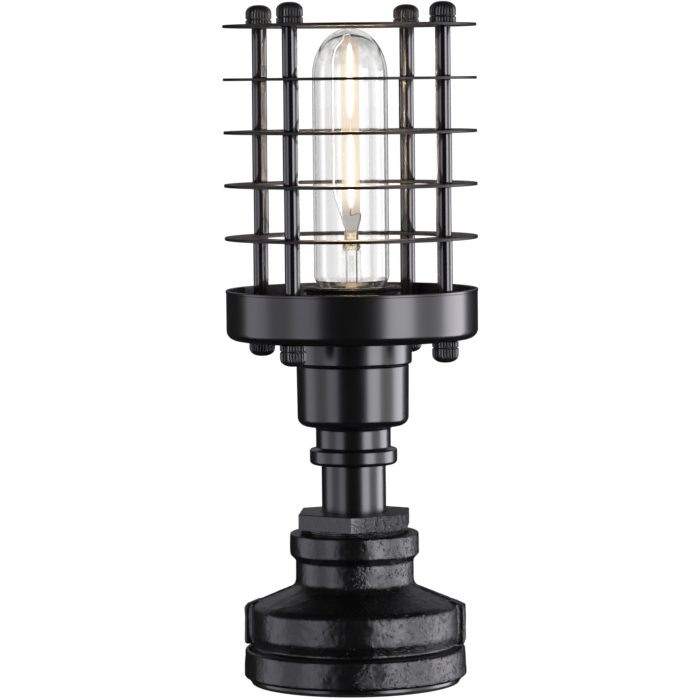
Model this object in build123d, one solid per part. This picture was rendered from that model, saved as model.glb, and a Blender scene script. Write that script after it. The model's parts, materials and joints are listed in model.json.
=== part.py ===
from build123d import *
import os
from math import atan2, cos, degrees, pi, radians, sin, tan

# Table lamp built from pipe fittings, with a cage of flat rings round a tubular bulb.
# Millimetres, +Z up. The origin is on the lamp's axis, on the table.

# Pad and plate that close the casting's mouth
pad_radius = 43.6
pad_thick = 1.2
plate_radius = 44.3
plate_thick = 1.5
plate_screw_radius = 1.5
plate_screw_head = 2.8
plate_screw_length = 9.0
plate_screw_count = 3

# Cast reducer: a wide mouth band, a body, a sloping shoulder, a neck and a top band
mouth_band_radius = 46.7
mouth_band_draft = 0.5
mouth_band_height = 12.0
mouth_band_edge = 1.5
mouth_bore_radius = 35.5
mouth_bore_depth = 20.0
groove_depth = 1.1
groove_height = 5.1
body_radius = 43.4
body_height = 12.9
body_edge = 3.0
body_wall = 6.4
shoulder_slope = 23.0
shoulder_wall = 5.0
shoulder_fillet = 4.5
neck_radius = 24.75
neck_height = 11.05
top_band_radius = 27.0
top_band_chamfer = 2.4
top_band_height = 9.1
casting_edge = 0.8
cavity_neck_radius = 19.8

# Parting ribs on the casting's two sides, with a thin fin up the shoulder
rib_angle = -17.1
rib_radius = 46.2
rib_width = 10.4
rib_edge = 1.0
fin_width = 2.0
fin_proud = 0.6

# Cord inlet in the back of the casting
inlet_hole_radius = 5.0
inlet_bore_radius = 3.3
grommet_flange_radius = 6.9
grommet_flange_thick = 1.6
grommet_tail = 0.6
spot_face_depth = 1.0

# Hexagon bushing and the pipe that rises from it
bushing_thread_radius = 20.8
bushing_thread_length = 16.0
bushing_gap = 2.1
thread_turn_height = 0.7
thread_turn_depth = 0.7
hex_across_flats = 45.0
hex_height = 6.5
hex_corner_angle = 13.8
hex_edge = 0.6
hex_mouth_chamfer = 0.9
pipe_radius = 13.45
pipe_wall = 2.7
pipe_exposed = 19.9
pipe_engaged = 20.0
pipe_in_cup = 12.3

# Turned socket cup: a band and a neck below, a wide cup above
cup_band_radius = 18.3
cup_band_height = 6.6
cup_band_edge = 1.8
cup_neck_radius = 15.65
cup_neck_height = 9.6
cup_neck_fillet = 1.5
cup_radius = 23.2
cup_flare = 0.3
cup_height = 25.7
cup_corner = 6.3
cup_wall = 1.5
cup_floor = 2.2
cup_top_edge = 0.9

# Collar between the cup and the pan
collar_radius = 24.8
collar_height = 10.6
collar_edge = 1.0
collar_spigot_height = 3.0

# Spun pan
pan_radius = 52.5
pan_height = 20.8
pan_sheet = 1.0
pan_corner = 4.0
pan_lip_height = 1.1
pan_lip_proud = 0.2

# Cage: rings on four tie rods, kept apart by spacer tubes
ring_count = 5
ring_proud = 0.25
ring_width = 14.15
ring_thick = 1.2
ring_pitch = 22.0
lowest_spacer_length = 40.6
rod_radius = 2.0
rod_inset = 7.3
spacer_radius = 3.175
spacer_wall = 0.85
spacer_play = 0.25
spacer_lean_step = 137
spacer_lean_corner = 60
corner_angles = {"front_right": -45, "rear_right": 45, "rear_left": 135, "front_left": 225}

# Knurled cap nuts on the rods' ends
nut_radius = 5.5
nut_flange_height = 2.1
nut_groove_height = 0.8
nut_groove_depth = 0.7
nut_body_height = 2.9
nut_dome_height = 2.9
nut_bore_depth = 6.2
knurl_teeth = 26
knurl_depth = 0.45

# Lampholder: cap, insert, threaded skirt and shade ring
nipple_radius = 4.95
nipple_wall = 1.15
nipple_nut_across_flats = 14.0
nipple_nut_thick = 2.0
holder_cap_radius = 20.3
holder_cap_height = 24.0
holder_cap_floor = 4.0
holder_cap_wall = 2.2
holder_cap_ledge = 4.3
insert_height = 8.0
insert_recess_radius = 7.0
insert_recess_depth = 5.0
skirt_thread_radius = 20.5
skirt_thread_depth = 1.1
skirt_thread_pitch = 2.5
skirt_thread_rise = 0.10
skirt_crest_low = 0.40
skirt_crest_high = 0.70
skirt_height = 30.0
skirt_bore_radius = 14.6
skirt_mouth_radius = 16.4
skirt_mouth_depth = 3.0
shade_ring_radius = 26.5
shade_ring_height = 4.5
shell_height = 19.8
shell_radius = 14.4
contact_height = 3.4
contact_width = 5.0
contact_thick = 0.5
contact_top_half = 1.9
contact_foot_reach = 5.8
terminal_spread = 8.0
terminal_head_radius = 3.0
terminal_head_thick = 2.0
terminal_shank_radius = 1.6
terminal_shank_length = 2.6

# Screw thread of the bulb, made as rings, and its room in the holder's sleeve
bulb_thread_pitch = 3.629
bulb_thread_radius = 13.1
bulb_thread_depth = 0.84
bulb_thread_clearance = 0.2

# Bulb
bulb_length = 138.8
tip_height = 1.5
tip_radius = 4.6
tip_face_radius = 2.4
tip_side_height = 1.05
insulator_height = 7.0
insulator_foot_radius = 5.4
insulator_cone_height = 5.0
cap_height = 20.0
cap_bore_radius = 11.9
cap_rim_radius = 13.25
cap_rim_height = 4.5
cap_rim_wall = 0.6
glass_radius = 15.7
glass_wall = 0.8
glass_neck_radius = 12.4
glass_neck_depth = 3.0
glass_taper_radius = 13.5
glass_taper_low = 4.5
glass_taper_height = 4.1
glass_dome_height = 19.9
flare_radius = 11.3
flare_height = 9.0
stem_radius = 4.5
stem_wall = 0.8
stem_height = 25.5
stem_cone_height = 3.5
press_width = 6.0
press_thick = 2.4
press_height = 6.0
exhaust_radius = 1.5
exhaust_wall = 0.5
driver_width = 12.0
driver_height = 12.0
driver_thick = 1.0
driver_can_radius = 2.6
driver_can_height = 7.0

# Light sticks and their wires, in a plane that faces the front
stick_plane_angle = -12.7
stick_width = 2.0
stick_thick = 1.4
stick_gap = 6.4
stick_headroom = 6.2
stick_footroom = 9.6
wire_radius = 0.3
wire_spread = 2.1
support_reach = 7.3
support_foot_rise = 17.0
support_shoulder_drop = 13.0
support_crown_reach = 2.9
support_crown_drop = 5.6
support_top_drop = 2.4
hook_reach = 4.2
hook_rise = 6.5
wire_bend = 1.4

# Leads inside the lamp and the terminal block that a cord is joined to
lead_radius = 1.0
lead_spread = 1.3
block_width = 17.0
block_length = 20.0
block_height = 12.0
block_offset = 8.0
block_edge = 1.0
block_pole_spread = 4.0
block_hole_radius = 1.6
block_screw_radius = 1.4
block_screw_spread = 5.5
lead_in_block = 6.0
lead_shoulder_y = -12.0
lead_loop_y = -19.0
lead_entry_y = -15.0
lead_room = 3.0

# Clearances
thread_clearance = 0.05
slip_clearance = 0.1
rod_hole_clearance = 0.15
nut_clearance = 0.03
fit_gap = 0.2
wire_clearance = 0.05

# The cage stands on the pan's edge
ring_radius = pan_radius + ring_proud
ring_hole_radius = ring_radius - ring_width
rod_circle = pan_radius - rod_inset

# Heights that the sizes above stack up to
plate_z = pad_thick
casting_z = plate_z + plate_thick
groove_z = casting_z + mouth_band_height
body_z = groove_z + groove_height
body_top_z = body_z + body_height
shoulder_rise = (body_radius - neck_radius) * tan(radians(shoulder_slope))
neck_z = body_top_z + shoulder_rise
neck_top_z = neck_z + neck_height
casting_top_z = neck_top_z + top_band_chamfer + top_band_height
inlet_z = (body_z + body_top_z) / 2
hex_z = casting_top_z + bushing_gap
hex_top_z = hex_z + hex_height
pipe_z = hex_top_z - pipe_engaged
cup_z = hex_top_z + pipe_exposed
cup_neck_z = cup_z + cup_band_height
cup_body_z = cup_neck_z + cup_neck_height
cup_floor_z = cup_body_z + cup_floor
collar_z = cup_body_z + cup_height
pan_z = collar_z + collar_height
pan_floor_z = pan_z + pan_sheet
lowest_ring_z = pan_floor_z + lowest_spacer_length
top_ring_z = lowest_ring_z + (ring_count - 1) * ring_pitch
cage_top_z = top_ring_z + ring_thick
holder_z = cup_floor_z + nipple_nut_thick
insert_top_z = holder_z + holder_cap_height
insert_z = insert_top_z - insert_height
recess_z = insert_top_z - insert_recess_depth
tip_z = recess_z + contact_height
insulator_z = tip_z + tip_height
cap_z = insulator_z + insulator_cone_height
cap_top_z = cap_z + cap_height
taper_z = cap_top_z + glass_taper_low
bulb_top_z = tip_z + bulb_length
dome_z = bulb_top_z - glass_dome_height
flare_z = cap_top_z - glass_neck_depth
stem_top_z = flare_z + stem_height
press_top_z = stem_top_z + press_height
driver_z = insulator_z + insulator_height
stick_room = bulb_top_z - stick_headroom - stick_gap - press_top_z - stick_footroom
stick_length = stick_room / 2
upper_stick_z = bulb_top_z - stick_headroom - stick_length
lower_stick_z = upper_stick_z - stick_gap - stick_length


def outline(*corners):
    """Flat face inside a closed outline. A corner's third number rounds it."""
    points = [Vector(*corner[:2]) for corner in corners]
    stretches = []
    for number, corner in enumerate(corners):
        here = points[number]
        back = points[number - 1] - here
        ahead = points[(number + 1) % len(points)] - here
        if len(corner) < 3:
            stretches.append([here])
            continue
        half_angle = radians(back.get_angle(ahead)) / 2
        shorter = min(back.length, ahead.length)
        run = min(corner[2] / tan(half_angle), 0.49 * shorter)
        radius = run * tan(half_angle)
        middle = (back.normalized() + ahead.normalized()).normalized()
        stretches.append([
            here + back.normalized() * run,
            here + middle * (radius / sin(half_angle) - radius),
            here + ahead.normalized() * run,
        ])
    edges = []
    for number, stretch in enumerate(stretches):
        if len(stretch) == 3:
            edges.append(Edge.make_three_point_arc(*stretch))
        after = stretches[(number + 1) % len(stretches)]
        edges.append(Edge.make_line(stretch[-1], after[0]))
    return Face(Wire(edges))


def turned(*corners):
    """Solid turned about Z from corners given as radius, height and rounding."""
    return revolve(Plane.XZ * outline(*corners), Axis.Z)


def disc(radius, low, high, bore=0.0):
    """Round plate or tube between two heights."""
    solid = Pos(0, 0, low) * extrude(Circle(radius), high - low)
    return solid - Pos(0, 0, low) * extrude(Circle(bore), high - low) if bore else solid


def slab(width, angle, low, high):
    """Upright slab through the axis, that cuts a rib out of a turned solid."""
    reach = 4 * mouth_band_radius
    return Rot(Z=angle) * Pos(0, 0, (low + high) / 2) * Box(reach, width, high - low)


def hexagon(across_flats, low, high, angle=0.0):
    """Hexagon prism with a corner at the angle."""
    face = RegularPolygon(across_flats / 2, 6, major_radius=False)
    turn = -degrees(atan2(face.vertices()[0].Y, face.vertices()[0].X))
    return Pos(0, 0, low) * Rot(Z=angle + turn) * extrude(face, high - low)


def around(solid, count, radius):
    """Copies of a solid, evenly round the axis."""
    return [Rot(Z=360 * number / count) * Pos(radius, 0, 0) * solid for number in range(count)]


def at_corners(make):
    """One copy at each tie rod."""
    return [
        Rot(Z=angle) * Pos(rod_circle, 0, 0) * make(number)
        for number, angle in enumerate(corner_angles.values())
    ]


def less(solid, tools):
    """A solid with each tool cut out of it."""
    for tool in tools:
        solid = solid - tool
    return solid


def tube_along(points, radii, radius):
    """Round wire along straight runs joined by tangent arcs."""
    path = FilletPolyline(*points, radius=radii)
    return sweep(Plane(path @ 0, z_dir=path % 0) * Circle(radius), path=path)


def bend_radii(points):
    """The largest arc that each corner's two runs leave room for."""
    radii = []
    for before, here, after in zip(points, points[1:], points[2:]):
        back, ahead = Vector(*here) - Vector(*before), Vector(*after) - Vector(*here)
        half_turn = radians(back.get_angle(ahead)) / 2
        radii.append(0.45 * min(back.length, ahead.length) / tan(half_turn))
    return radii


def plate_screw(grow=0.0):
    """Countersunk screw, head down, that holds the plate under the casting."""
    neck_z = plate_z + plate_screw_head - plate_screw_radius
    tip_z = plate_z + plate_screw_length
    shank = plate_screw_radius + grow
    head = plate_screw_head + grow
    return turned((0, plate_z), (head, plate_z), (shank, neck_z), (shank, tip_z + grow), (0, tip_z + grow))


def plate_screws(grow=0.0):
    circle = (mouth_bore_radius + mouth_band_radius - mouth_band_edge) / 2
    return around(plate_screw(grow), plate_screw_count, circle)


def base_pad():
    return disc(pad_radius, 0, pad_thick)


def base_plate():
    return less(disc(plate_radius, plate_z, casting_z), plate_screws(thread_clearance))


def shoulder_height(radius, lift=0.0):
    """Height of the casting's shoulder at a radius, raised square to its slope by lift."""
    slope = radians(shoulder_slope)
    return body_top_z + (body_radius - radius) * tan(slope) + lift / cos(slope)


def parting_ribs():
    """Flat-faced rib on each side of the casting and the fin that runs up from it."""
    rib_z = groove_z + (body_z - groove_z) / 3
    root = body_radius - body_wall / 2
    rib = turned(
        (root, rib_z), (rib_radius, rib_z, rib_edge),
        (rib_radius, shoulder_height(rib_radius, fin_proud), rib_edge),
        (root, shoulder_height(root, fin_proud)),
    )
    fin = turned(
        (root, shoulder_height(root, -shoulder_wall / 2)),
        (rib_radius, shoulder_height(rib_radius, -shoulder_wall / 2)),
        (rib_radius, shoulder_height(rib_radius, fin_proud), rib_edge),
        (neck_radius, shoulder_height(neck_radius, fin_proud)),
        (neck_radius, shoulder_height(neck_radius, -shoulder_wall / 2)),
    )
    return [
        rib & slab(rib_width, rib_angle, casting_z, casting_top_z),
        fin & slab(fin_width, rib_angle, casting_z, casting_top_z),
    ]


def inlet_plug(radius, inner, outer):
    """Cylinder along +Y at the cord inlet."""
    return Pos(0, inner, inlet_z) * Rot(X=-90) * extrude(Circle(radius), outer - inner)


def reducer_base():
    top_bore = bushing_thread_radius + thread_clearance
    thread_foot_z = hex_z - bushing_gap - bushing_thread_length - 2 * casting_edge
    relief = body_radius - body_wall
    band_top_radius = mouth_band_radius - mouth_band_draft
    casting = turned(
        (mouth_bore_radius, casting_z), (mouth_band_radius, casting_z, mouth_band_edge),
        (band_top_radius, groove_z, mouth_band_edge),
        (body_radius - groove_depth, groove_z + groove_depth, 2 * groove_depth),
        (body_radius, body_z, body_edge), (body_radius, body_top_z, body_edge),
        (neck_radius, neck_z, shoulder_fillet), (neck_radius, neck_top_z, casting_edge),
        (top_band_radius, neck_top_z + top_band_chamfer, casting_edge),
        (top_band_radius, casting_top_z, casting_edge),
        (top_bore + casting_edge, casting_top_z), (top_bore, casting_top_z - casting_edge),
        (top_bore, thread_foot_z), (cavity_neck_radius, thread_foot_z - casting_edge),
        (cavity_neck_radius, shoulder_height(cavity_neck_radius, -shoulder_wall), casting_edge),
        (relief, shoulder_height(relief, -shoulder_wall), casting_edge),
        (relief, casting_z + mouth_bore_depth), (mouth_bore_radius, casting_z + mouth_bore_depth),
    )
    for rib in parting_ribs():
        casting = casting + rib
    spot_z = body_radius - spot_face_depth
    casting = casting - inlet_plug(inlet_hole_radius, cavity_neck_radius, body_radius + spot_face_depth)
    casting = casting - inlet_plug(grommet_flange_radius + fit_gap * 2, spot_z, body_radius + spot_face_depth)
    return less(casting, plate_screws(thread_clearance))


def cord_grommet():
    """Bush that a cord would pass through, pressed into the casting from the back."""
    spot_y = body_radius - spot_face_depth
    tail_y = body_radius - body_wall - grommet_tail
    shank = inlet_plug(inlet_hole_radius - thread_clearance, tail_y, spot_y)
    flange = inlet_plug(grommet_flange_radius, spot_y, spot_y + grommet_flange_thick)
    flange = fillet(flange.edges().sort_by(Axis.Y)[-1], grommet_flange_thick / 2)
    return shank + flange - inlet_plug(inlet_bore_radius, tail_y, spot_y + grommet_flange_thick)


def hex_bushing():
    """Reducing bushing: its thread goes down into the casting and shows under the hexagon."""
    bore = pipe_radius + thread_clearance
    foot_z = casting_top_z - bushing_thread_length
    head = hexagon(hex_across_flats, hex_z, hex_top_z, hex_corner_angle)
    head = fillet(head.edges().filter_by(Axis.Z), hex_edge)
    head = chamfer(head.faces().sort_by(Axis.Z)[-1].edges(), hex_edge / 2)
    thread = disc(bushing_thread_radius, foot_z, hex_z)
    for number in range(3):
        z = hex_z - (number + 0.5) * thread_turn_height
        root = bushing_thread_radius - thread_turn_depth
        reach = bushing_thread_radius + thread_turn_depth
        half = thread_turn_height / 2
        thread = thread - turned((root, z), (reach, z + half), (reach, z - half))
    mouth = turned(
        (0, hex_top_z + casting_edge), (bore + hex_mouth_chamfer + casting_edge, hex_top_z + casting_edge),
        (bore, hex_top_z - hex_mouth_chamfer), (0, hex_top_z - hex_mouth_chamfer),
    )
    return head + thread - disc(bore, foot_z, hex_top_z) - mouth


def stem_pipe():
    return disc(pipe_radius, pipe_z, cup_z + pipe_in_cup, pipe_radius - pipe_wall)


def socket_cup():
    bore = pipe_radius + slip_clearance
    cup_inner = cup_radius - cup_wall
    cup = turned(
        (bore, cup_z), (cup_band_radius, cup_z, cup_band_edge),
        (cup_band_radius, cup_neck_z, cup_band_edge / 2), (cup_neck_radius, cup_neck_z, cup_neck_fillet),
        (cup_neck_radius, cup_body_z, cup_top_edge), (cup_radius, cup_body_z, cup_corner),
        (cup_radius + cup_flare, collar_z, cup_top_edge), (cup_inner, collar_z),
        (cup_inner, cup_floor_z, cup_corner - cup_wall), (0, cup_floor_z),
        (0, cup_body_z), (bore, cup_body_z),
    )
    return cup - disc(nipple_radius + slip_clearance, cup_body_z, cup_floor_z)


def cup_collar():
    """Collar with a spigot that centres it in the cup, and the pan on top of it."""
    bore = skirt_thread_radius + fit_gap
    spigot = cup_radius - cup_wall - fit_gap
    return turned(
        (bore, collar_z - collar_spigot_height), (spigot, collar_z - collar_spigot_height),
        (spigot, collar_z), (collar_radius, collar_z, collar_edge), (collar_radius, pan_z), (bore, pan_z),
    )


def pan():
    """Spun pan with a turned lip, bored for the lampholder and the four rods."""
    inner = pan_radius - pan_sheet
    rim_z = pan_z + pan_height
    lip_z = rim_z - pan_lip_height
    lip_radius = pan_radius + pan_lip_proud
    bore = skirt_thread_radius + fit_gap
    shell = turned(
        (bore, pan_z), (pan_radius, pan_z, pan_corner), (pan_radius, lip_z - pan_lip_proud),
        (lip_radius, lip_z, pan_lip_proud), (lip_radius, rim_z, pan_lip_height / 3),
        (inner, rim_z, pan_lip_height / 3), (inner, pan_floor_z, pan_corner - pan_sheet),
        (bore, pan_floor_z),
    )
    hole = disc(rod_radius + rod_hole_clearance, pan_z, pan_floor_z)
    return less(shell, at_corners(lambda number: hole))


def ring_height(number):
    """Underside of a ring, counted from the top one, number 1."""
    return top_ring_z - (number - 1) * ring_pitch


def cage_ring(number):
    low = ring_height(number)
    ring = disc(ring_radius, low, low + ring_thick, ring_hole_radius)
    hole = disc(rod_radius + rod_hole_clearance, low, low + ring_thick)
    return less(ring, at_corners(lambda corner: hole))


def spacer_tubes(number):
    """The four tubes under a ring. Each hangs a little to one side of its rod."""
    high = ring_height(number)
    low = ring_height(number + 1) + ring_thick if number < ring_count else pan_floor_z
    tube = disc(spacer_radius, low, high, spacer_radius - spacer_wall)

    def shifted(corner):
        side = radians(spacer_lean_step * (number + corner) + spacer_lean_corner * corner)
        return Pos(spacer_play * cos(side), spacer_play * sin(side), 0) * tube

    return at_corners(shifted)


def tie_rod(angle):
    reach = nut_bore_depth - fit_gap
    return Rot(Z=angle) * Pos(rod_circle, 0, 0) * disc(rod_radius, pan_z - reach, cage_top_z + reach)


def cap_nut():
    """Knurled nut with a closed, domed end, its flat face at height zero."""
    body_low = nut_flange_height + nut_groove_height
    body_high = body_low + nut_body_height
    waist = nut_radius - nut_groove_depth
    top = body_high + nut_dome_height
    blank = turned(
        (0, 0), (nut_radius, 0, nut_groove_depth / 3), (nut_radius, nut_flange_height, nut_groove_depth / 3),
        (waist, (nut_flange_height + body_low) / 2), (nut_radius, body_low, nut_groove_depth / 3),
        (nut_radius, body_high, nut_dome_height), (nut_radius / 2, top, nut_dome_height), (0, top),
    )
    knurl = []
    for number in range(2 * knurl_teeth):
        radius = nut_radius + knurl_depth / 4 if number % 2 else nut_radius - knurl_depth
        angle = pi * number / knurl_teeth
        knurl.append((radius * cos(angle), radius * sin(angle)))
    return blank & extrude(outline(*knurl), top) - disc(rod_radius + nut_clearance, 0, nut_bore_depth)


def holder_nipple():
    """Hollow threaded tube that joins the cup's floor to the lampholder."""
    low = cup_body_z - 2 * nipple_nut_thick - fit_gap
    high = holder_z + holder_cap_floor / 2
    return disc(nipple_radius, low, high, nipple_radius - nipple_wall)


def nipple_nuts():
    """One nut under the cup's floor and one on it."""
    bore = nipple_radius + thread_clearance
    lows = [cup_body_z - nipple_nut_thick, cup_floor_z]
    return [
        hexagon(nipple_nut_across_flats, low, low + nipple_nut_thick)
        - disc(bore, low, low + nipple_nut_thick) for low in lows
    ]


def holder_cap():
    """Lower half of the lampholder, with a ledge inside for the insert."""
    ledge = holder_cap_radius - holder_cap_ledge
    bore = nipple_radius + thread_clearance
    return turned(
        (bore, holder_z), (holder_cap_radius, holder_z, holder_cap_ledge / 2),
        (holder_cap_radius, insert_top_z), (holder_cap_radius - holder_cap_wall, insert_top_z),
        (holder_cap_radius - holder_cap_wall, insert_z), (ledge, insert_z),
        (ledge, holder_z + holder_cap_floor), (bore, holder_z + holder_cap_floor),
    )


def terminal_screw(grow=0.0):
    """Screw, head down, under the insert."""
    shank = terminal_shank_radius + grow
    tip = insert_z + terminal_shank_length
    low = insert_z - terminal_head_thick
    return turned(
        (0, low), (terminal_head_radius, low, terminal_head_thick / 4), (terminal_head_radius, insert_z),
        (shank, insert_z), (shank, tip + grow), (0, tip + grow),
    )


def terminal_screws(grow=0.0):
    return [Pos(side * terminal_spread, 0, 0) * terminal_screw(grow) for side in (-1, 1)]


def holder_insert():
    radius = holder_cap_radius - holder_cap_wall - fit_gap
    insert = disc(radius, insert_z, insert_top_z) - disc(insert_recess_radius, recess_z, insert_top_z)
    return less(insert, terminal_screws(thread_clearance))


def centre_contact():
    """Sprung strip that the bulb's tip presses on."""
    top = tip_z
    bend = contact_top_half + contact_height / 2
    strip = outline(
        (-contact_foot_reach, recess_z), (-bend + contact_thick, recess_z),
        (-contact_top_half, top - contact_thick), (contact_top_half, top - contact_thick),
        (contact_top_half, top), (-contact_top_half - contact_thick / 2, top),
        (-bend, recess_z + contact_thick), (-contact_foot_reach, recess_z + contact_thick),
    )
    return extrude(Plane.XZ * strip, contact_width / 2, both=True)


def holder_skirt():
    """Outer barrel of the lampholder; its thread shows above the pan."""
    root = skirt_thread_radius - skirt_thread_depth
    top = insert_top_z + skirt_height
    turns = int((skirt_height - skirt_thread_pitch) / skirt_thread_pitch)
    crest, valley = skirt_thread_depth / 3, skirt_thread_depth / 4
    outside = [(root, insert_top_z)]
    for number in range(turns, 0, -1):
        low = top - number * skirt_thread_pitch
        outside.append((root, low + skirt_thread_rise * skirt_thread_pitch, valley))
        outside.append((skirt_thread_radius, low + skirt_crest_low * skirt_thread_pitch, crest))
        if number > 1:
            outside.append((skirt_thread_radius, low + skirt_crest_high * skirt_thread_pitch, crest))
            outside.append((root, low + skirt_thread_pitch, valley))
    return turned(
        *outside, (skirt_thread_radius, top, crest), (skirt_mouth_radius, top, crest),
        (skirt_bore_radius, top - skirt_mouth_depth), (skirt_bore_radius, insert_top_z),
    )


def shade_ring():
    """Ring that screws down the skirt and clamps the pan on the collar."""
    bore = skirt_thread_radius + slip_clearance
    return turned(
        (bore, pan_floor_z), (shade_ring_radius, pan_floor_z),
        (shade_ring_radius, pan_floor_z + shade_ring_height / 2, 0.5 * casting_edge),
        (bore + skirt_thread_depth, pan_floor_z + shade_ring_height),
        (bore, pan_floor_z + shade_ring_height),
    )


def screw_shell():
    """Sleeve in the lampholder that the bulb screws into."""
    bore = bulb_thread_radius + bulb_thread_clearance
    return disc(shell_radius, insert_top_z, insert_top_z + shell_height, bore)


def bulb_tip():
    """Round contact under the bulb."""
    return turned(
        (0, tip_z), (tip_face_radius, tip_z, tip_height), (tip_radius, tip_z + tip_side_height),
        (tip_radius, insulator_z), (0, insulator_z),
    )


def bulb_insulator():
    plug = cap_bore_radius - slip_clearance
    return turned(
        (0, insulator_z), (insulator_foot_radius, insulator_z), (plug, cap_z),
        (plug, driver_z), (0, driver_z),
    )


def bulb_cap():
    """Threaded cap with a plain rim that holds the glass."""
    rim_z = cap_top_z - cap_rim_height
    root = bulb_thread_radius - bulb_thread_depth
    half_pitch = bulb_thread_pitch / 2
    outside = [(cap_bore_radius, cap_z), (root, cap_z)]
    for number in range(int((rim_z - cap_z) / bulb_thread_pitch)):
        crest_z = cap_z + (2 * number + 1) * half_pitch
        outside.append((bulb_thread_radius, crest_z, half_pitch))
        outside.append((root, crest_z + half_pitch, half_pitch))
    bell_bore = cap_rim_radius - cap_rim_wall
    return turned(
        *outside, (root, rim_z), (cap_rim_radius, rim_z, cap_rim_wall), (cap_rim_radius, cap_top_z),
        (bell_bore, cap_top_z), (bell_bore, flare_z), (cap_bore_radius, flare_z),
    )


def glass_form(inset=0.0):
    """Solid inside the bulb's surface, or inside a surface set in by the glass."""
    radius, height = glass_radius - inset, glass_dome_height - inset
    arc = Edge.make_ellipse(radius, height, Plane((0, dome_z, 0)), 0, 90)
    legs = Wire.make_polygon([(0, bulb_top_z - inset), (0, dome_z), (radius, dome_z)], close=False)
    dome = revolve(Plane.XZ * Face(Wire([arc, *legs.edges()])), Axis.Z)
    barrel = turned(
        (0, flare_z - inset), (glass_neck_radius - inset, flare_z - inset),
        (glass_neck_radius - inset, cap_top_z, glass_taper_low),
        (glass_taper_radius - inset, taper_z, glass_taper_low),
        (radius, taper_z + glass_taper_height, glass_taper_height), (radius, dome_z), (0, dome_z),
    )
    return barrel + dome


def bulb_glass():
    return glass_form() - glass_form(glass_wall)


def stick_plane(x, y=0.0):
    """Point of the plane that holds the light sticks."""
    angle = radians(stick_plane_angle)
    return (x * cos(angle) - y * sin(angle), x * sin(angle) + y * cos(angle))


def bulb_stem():
    """Glass stem: a flare at the neck, a tube and the flat press that holds the wires."""
    inner = stem_radius - stem_wall
    tube_z = flare_z + flare_height
    shoulder_z = stem_top_z - stem_cone_height
    outside = turned(
        (0, flare_z), (flare_radius, flare_z), (flare_radius, flare_z + stem_wall),
        (stem_radius, tube_z, flare_height), (stem_radius, shoulder_z, stem_wall),
        (press_width / 2, stem_top_z), (0, stem_top_z),
    )
    hollow = turned(
        (0, flare_z - stem_wall), (flare_radius - stem_wall, flare_z - stem_wall),
        (flare_radius - stem_wall, flare_z), (inner, tube_z, flare_height),
        (inner, shoulder_z - stem_wall), (0, shoulder_z - stem_wall),
    )
    exhaust = disc(exhaust_radius, flare_z - stem_wall, shoulder_z, exhaust_radius - exhaust_wall)
    press = extrude(RectangleRounded(press_width, press_thick, press_thick / 3), press_height + stem_wall)
    press = Pos(0, 0, stem_top_z - stem_wall) * Rot(Z=stick_plane_angle) * press
    stem = outside - hollow + exhaust + press
    holes = [
        Pos(*stick_plane(side * wire_spread), 0) * disc(wire_radius + wire_clearance, tube_z, press_top_z)
        for side in (-1, 1)
    ]
    return less(stem, holes)


def driver_top():
    return driver_z + driver_height


def bulb_driver():
    """Small circuit board with its capacitor, inside the cap."""
    board = Pos(0, 0, driver_z + driver_height / 2) * Box(driver_width, driver_thick, driver_height)
    can_y = driver_thick / 2 + driver_can_radius - wire_clearance
    can = Pos(0, can_y, driver_z) * extrude(Circle(driver_can_radius), driver_can_height)
    return Rot(Z=stick_plane_angle) * (board + can)


def in_stick_plane(points):
    return [(*stick_plane(x), z) for x, z in points]


def support_wire():
    """Wire from the press up beside the sticks and over to the upper one's top."""
    stick_top = upper_stick_z + stick_length
    points = [
        (-wire_spread, driver_top()), (-wire_spread, press_top_z),
        (-support_reach, press_top_z + support_foot_rise),
        (-support_reach, bulb_top_z - support_shoulder_drop),
        (-support_crown_reach, bulb_top_z - support_crown_drop),
        (0, bulb_top_z - support_top_drop), (0, stick_top),
    ]
    return tube_along(in_stick_plane(points), wire_bend, wire_radius)


def lead_wire():
    """Wire from the press that hooks under the lower stick."""
    points = [
        (wire_spread, driver_top()), (wire_spread, press_top_z),
        (hook_reach, press_top_z + hook_rise), (hook_reach / 2, lower_stick_z - wire_bend),
        (0, lower_stick_z - wire_bend), (0, lower_stick_z),
    ]
    return tube_along(in_stick_plane(points), wire_bend / 2, wire_radius)


def light_stick(low):
    stick = extrude(RectangleRounded(stick_width, stick_thick, stick_thick / 2.5), stick_length)
    return Pos(0, 0, low) * Rot(Z=stick_plane_angle) * stick


def stick_link():
    return disc(wire_radius, lower_stick_z + stick_length, upper_stick_z)


def terminal_block():
    block = Pos(0, block_offset, casting_z + block_height / 2) * Box(block_width, block_length, block_height)
    block = fillet(block.edges().filter_by(Axis.Z), block_edge)
    pole = Rot(X=-90) * extrude(Circle(block_hole_radius), block_length)
    poles = [
        Pos(side * block_pole_spread, block_offset - block_length / 2, casting_z + block_height / 2) * pole
        for side in (-1, 1)
    ]
    return less(block, poles + block_screws(thread_clearance))


def block_screws(grow=0.0):
    """Clamp screws, two over each pole."""
    low = casting_z + block_height / 2 + lead_radius
    screw = disc(block_screw_radius + grow, low, casting_z + block_height)
    return [
        Pos(side * block_pole_spread, block_offset + end * block_screw_spread, 0) * screw
        for side in (-1, 1) for end in (-1, 1)
    ]


def inner_lead(side):
    """Insulated lead from a lampholder terminal, down the pipe, to the terminal block."""
    pole_z = casting_z + block_height / 2
    block_y = block_offset - block_length / 2
    head_z = insert_z - terminal_head_thick
    funnel_z = (head_z + holder_z + holder_cap_floor) / 2
    points = [
        (terminal_spread, 0, head_z), (terminal_spread, 0, funnel_z),
        (lead_spread, 0, holder_z + holder_cap_floor + lead_radius / 2),
        (lead_spread, 0, neck_z),
        (lead_spread + lead_radius, lead_shoulder_y, body_top_z - lead_room),
        (block_pole_spread, lead_loop_y, casting_z + block_height + lead_room),
        (block_pole_spread, lead_entry_y, pole_z), (block_pole_spread, block_y + lead_in_block, pole_z),
    ]
    points = [(side * x, y, z) for x, y, z in points]
    return tube_along(points, bend_radii(points), lead_radius)


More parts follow.
